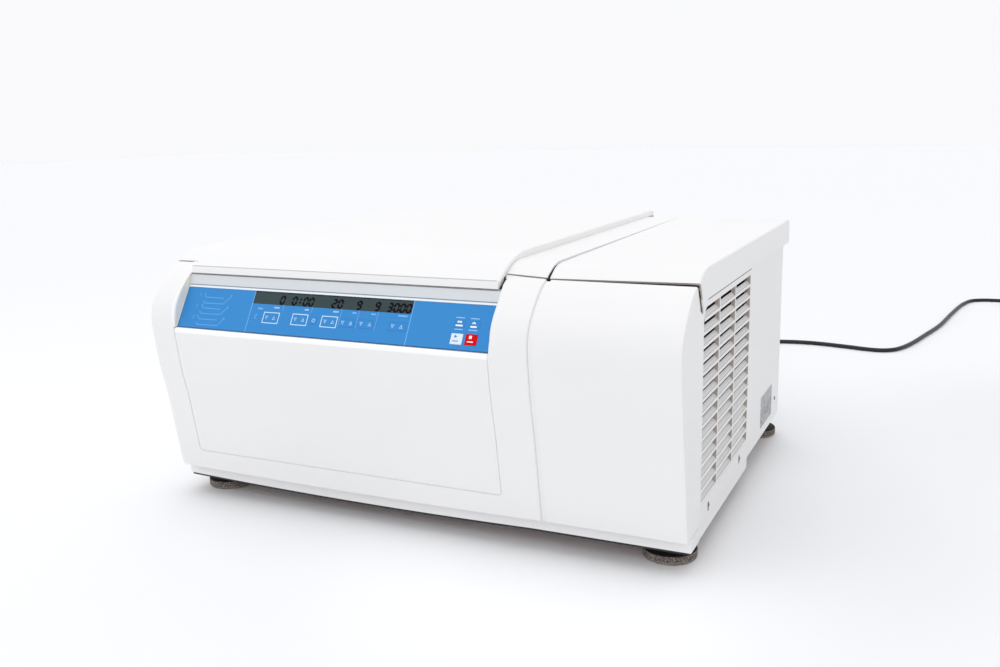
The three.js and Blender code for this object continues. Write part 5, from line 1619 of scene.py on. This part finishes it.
def make_lock_and_hinge():
    o = obj_from("lock_housing", mesh(lambda bm: block(bm, CX - 32, CX + 32, -250, -211.5, 288, 341.5)), "dark_plastic")
    boolean(o, [box_cutter((CX - 7.5, CX + 7.5, -234, -215, 296, 350))])
    tidy(o)
    soften(o, 1.2, 3)
    place(o, replaces=("lock_unit",), slot="dark_plastic")
    rod_profile = round_profile([(0, -304), (4, -304), (4, 114), (0, 114)], 0.8, 3)
    o = obj_from("hinge_pin", mesh(lambda bm: lathe(bm, rod_profile, 32, about_x(HINGE_Y, HINGE_Z))), "steel_flat")
    sharp_by_angle(o, 40)
    place(o, replaces=("hinge_rod",), slot="stainless")
    for name, x in (("hinge_bracket_left", -301.0), ("hinge_bracket_right", 105.0)):
        b = obj_from(name + "_plate", mesh(lambda bm: prism_y(bm, round_rect(x - 14, x + 20, 316, 349, 3), Y_COVER_REAR + 0.3, 304.3)), "steel_flat")
        arm = obj_from("c", mesh(lambda bm: prism_x(bm, [(304, 318), (304, 348.6), (322, 348.6), (326.5, 344), (326.5, 331), (318, 326)], x, x + 6)), None)
        boolean(b, [arm], "UNION")
        boolean(b, [obj_from("c", mesh(lambda bm: lathe(bm, [(0, x - 1), (4.3, x - 1), (4.3, x + 7), (0, x + 7)], 32, about_x(HINGE_Y, HINGE_Z))), None)])
        tidy(b)
        soften(b, 0.5, 2)
        place(b, replaces=(name,), slot="stainless")

        def bolts(bm, x=x):
            for bx, bz in ((x - 8, 322), (x - 8, 343), (x + 14, 322), (x + 14, 343)):
                prism_y(bm, [(bx + 3.6 * math.cos(math.radians(60 * k)), bz + 3.6 * math.sin(math.radians(60 * k))) for k in range(6)], 304.2, 307.0)
        s = obj_from(name + "_bolts", mesh(bolts), "screw")
        soften(s, 0.3, 2)
        place(s, slot="stainless")


make_lock_and_hinge()


def make_machinery():
    body = [(0, 28), (58, 28), (58, 34), (70, 40), (70, 100), (72, 102), (72, 106), (70, 108), (70, 165), (62, 188), (40, 204), (0, 208)]
    body = [(min(r, 70), z) for r, z in body]
    o = obj_from("compressor_can", mesh(lambda bm: lathe(bm, round_profile(body, [0, 2, 2, 6, 1, 1, 1, 1, 18, 20, 20, 0], 6), 96, about_z(262, 168))), "enamel")
    sharp_by_angle(o, 45)
    place(o, replaces=("compressor",), slot="black_enamel")
    box = obj_from("power_box", mesh(lambda bm: block(bm, 205, 262, -292, -130, 62, 240)), "grey_plastic")
    soften(box, 1.5, 3)
    place(box, replaces=("power_unit",), slot="grey_plastic")


make_machinery()

KEPT = {"fan_shroud": "dark_plastic", "condenser_fan": "dark_plastic", "refrigerant_pipe": "copper", "control_board": "board", "condenser": "dark_fins"}
for name, material in KEPT.items():
    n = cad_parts[name]
    n.data.materials.clear()
    n.data.materials.append(MATERIAL[material])
    sharp_by_angle(n, 35)


# ------------------------------------------------------------- stage and light
def make_stage():
    bm = bmesh.new()
    bmesh.ops.create_grid(bm, x_segments=8, y_segments=8, size=14.0)
    floor = obj_from("floor", bm, None, smooth=False)
    floor.location = (0.3, 0.6, 0.0)
    m = bpy.data.materials.new("floor_paper")
    m.use_nodes = True
    nt = m.node_tree
    b = nt.nodes["Principled BSDF"]
    b.inputs["Roughness"].default_value = 0.75
    b.inputs["Specular IOR Level"].default_value = 0.25
    # paper painted a little lighter round the machine's front and right, a pool of painted light, and a little darker
    # behind on the right, painted shade
    spot = nt.nodes.new("ShaderNodeTexCoord")

    def blob(at, reach, inner, outer, value):
        shift = nt.nodes.new("ShaderNodeVectorMath")
        shift.operation = "SUBTRACT"
        shift.inputs[1].default_value = (at[0] - 0.3, at[1] - 0.6, 0.0)
        scale = nt.nodes.new("ShaderNodeVectorMath")
        scale.operation = "MULTIPLY"
        scale.inputs[1].default_value = (1 / reach[0], 1 / reach[1], 1.0)
        far = nt.nodes.new("ShaderNodeVectorMath")
        far.operation = "LENGTH"
        level = nt.nodes.new("ShaderNodeMapRange")
        level.interpolation_type = "SMOOTHSTEP"
        level.inputs["From Min"].default_value, level.inputs["From Max"].default_value = inner, outer
        level.inputs["To Min"].default_value, level.inputs["To Max"].default_value = value, 0.0
        nt.links.new(spot.outputs["Object"], shift.inputs[0])
        nt.links.new(shift.outputs["Vector"], scale.inputs[0])
        nt.links.new(scale.outputs["Vector"], far.inputs[0])
        nt.links.new(far.outputs["Value"], level.inputs["Value"])
        return level.outputs["Result"]

    painted_light_pool = blob((0.23, -0.15), (0.33, 0.45), 0.6, 1.25, 0.085)
    painted_shade_patch = blob((0.80, 0.50), (0.40, 0.50), 0.1, 1.1, -0.06)
    tone = nt.nodes.new("ShaderNodeMath")
    tone.operation = "ADD"
    nt.links.new(painted_light_pool, tone.inputs[0])
    nt.links.new(painted_shade_patch, tone.inputs[1])
    tone2 = nt.nodes.new("ShaderNodeMath")
    tone2.operation = "ADD"
    tone2.inputs[1].default_value = 0.905
    nt.links.new(tone.outputs[0], tone2.inputs[0])
    paper = nt.nodes.new("ShaderNodeCombineColor")
    for k, tint in enumerate((0.992, 1.0, 1.012)):
        part = nt.nodes.new("ShaderNodeMath")
        part.operation = "MULTIPLY"
        part.inputs[1].default_value = tint
        nt.links.new(tone2.outputs[0], part.inputs[0])
        nt.links.new(part.outputs[0], paper.inputs[k])
    nt.links.new(paper.outputs[0], b.inputs["Base Color"])
    floor.data.materials.append(m)

    world = bpy.data.worlds.new("studio")
    world.use_nodes = True
    bpy.context.scene.world = world
    nt = world.node_tree
    bg = nt.nodes["Background"]
    # soft white room: brighter overhead, dimmer towards the intake's side
    where = nt.nodes.new("ShaderNodeTexCoord")
    split = nt.nodes.new("ShaderNodeSeparateXYZ")
    nt.links.new(where.outputs["Generated"], split.inputs[0])
    rise = nt.nodes.new("ShaderNodeMapRange")
    rise.inputs["From Min"].default_value, rise.inputs["From Max"].default_value = 0.10, 1.0
    rise.inputs["To Min"].default_value, rise.inputs["To Max"].default_value = 0.0, 0.30
    nt.links.new(split.outputs["Z"], rise.inputs["Value"])
    fall = nt.nodes.new("ShaderNodeMapRange")
    fall.inputs["From Min"].default_value, fall.inputs["From Max"].default_value = 0.05, 1.0
    fall.inputs["To Min"].default_value, fall.inputs["To Max"].default_value = 0.0, -0.42
    nt.links.new(split.outputs["X"], fall.inputs["Value"])
    total = nt.nodes.new("ShaderNodeMath")
    total.operation = "ADD"
    nt.links.new(rise.outputs["Result"], total.inputs[0])
    nt.links.new(fall.outputs["Result"], total.inputs[1])
    level = nt.nodes.new("ShaderNodeMath")
    level.operation = "ADD"
    level.inputs[1].default_value = 0.965
    nt.links.new(total.outputs[0], level.inputs[0])
    nt.links.new(level.outputs[0], bg.inputs["Strength"])
    bg.inputs["Color"].default_value = (0.985, 0.985, 1.0, 1)

    def area(name, at, aim, size, energy):
        d = bpy.data.lights.new(name, "AREA")
        d.shape, d.size, d.energy = "SQUARE", size, energy
        o = bpy.data.objects.new(name, d)
        o.location = at
        o.rotation_mode = "QUATERNION"
        o.rotation_quaternion = (Vector(aim) - Vector(at)).to_track_quat("-Z", "Y")
        bpy.context.scene.collection.objects.link(o)

    area("overhead", (-0.8, -0.5, 2.2), (-0.1, -0.1, 0.2), 1.6, 3.3)
    area("front_left", (-1.3, -1.8, 1.4), (-0.1, -0.2, 0.25), 1.2, 0.4)
    scene = bpy.context.scene
    scene.view_settings.view_transform = "Standard"
    scene.view_settings.look = "None"
    scene.view_settings.exposure = 0.0


make_stage()
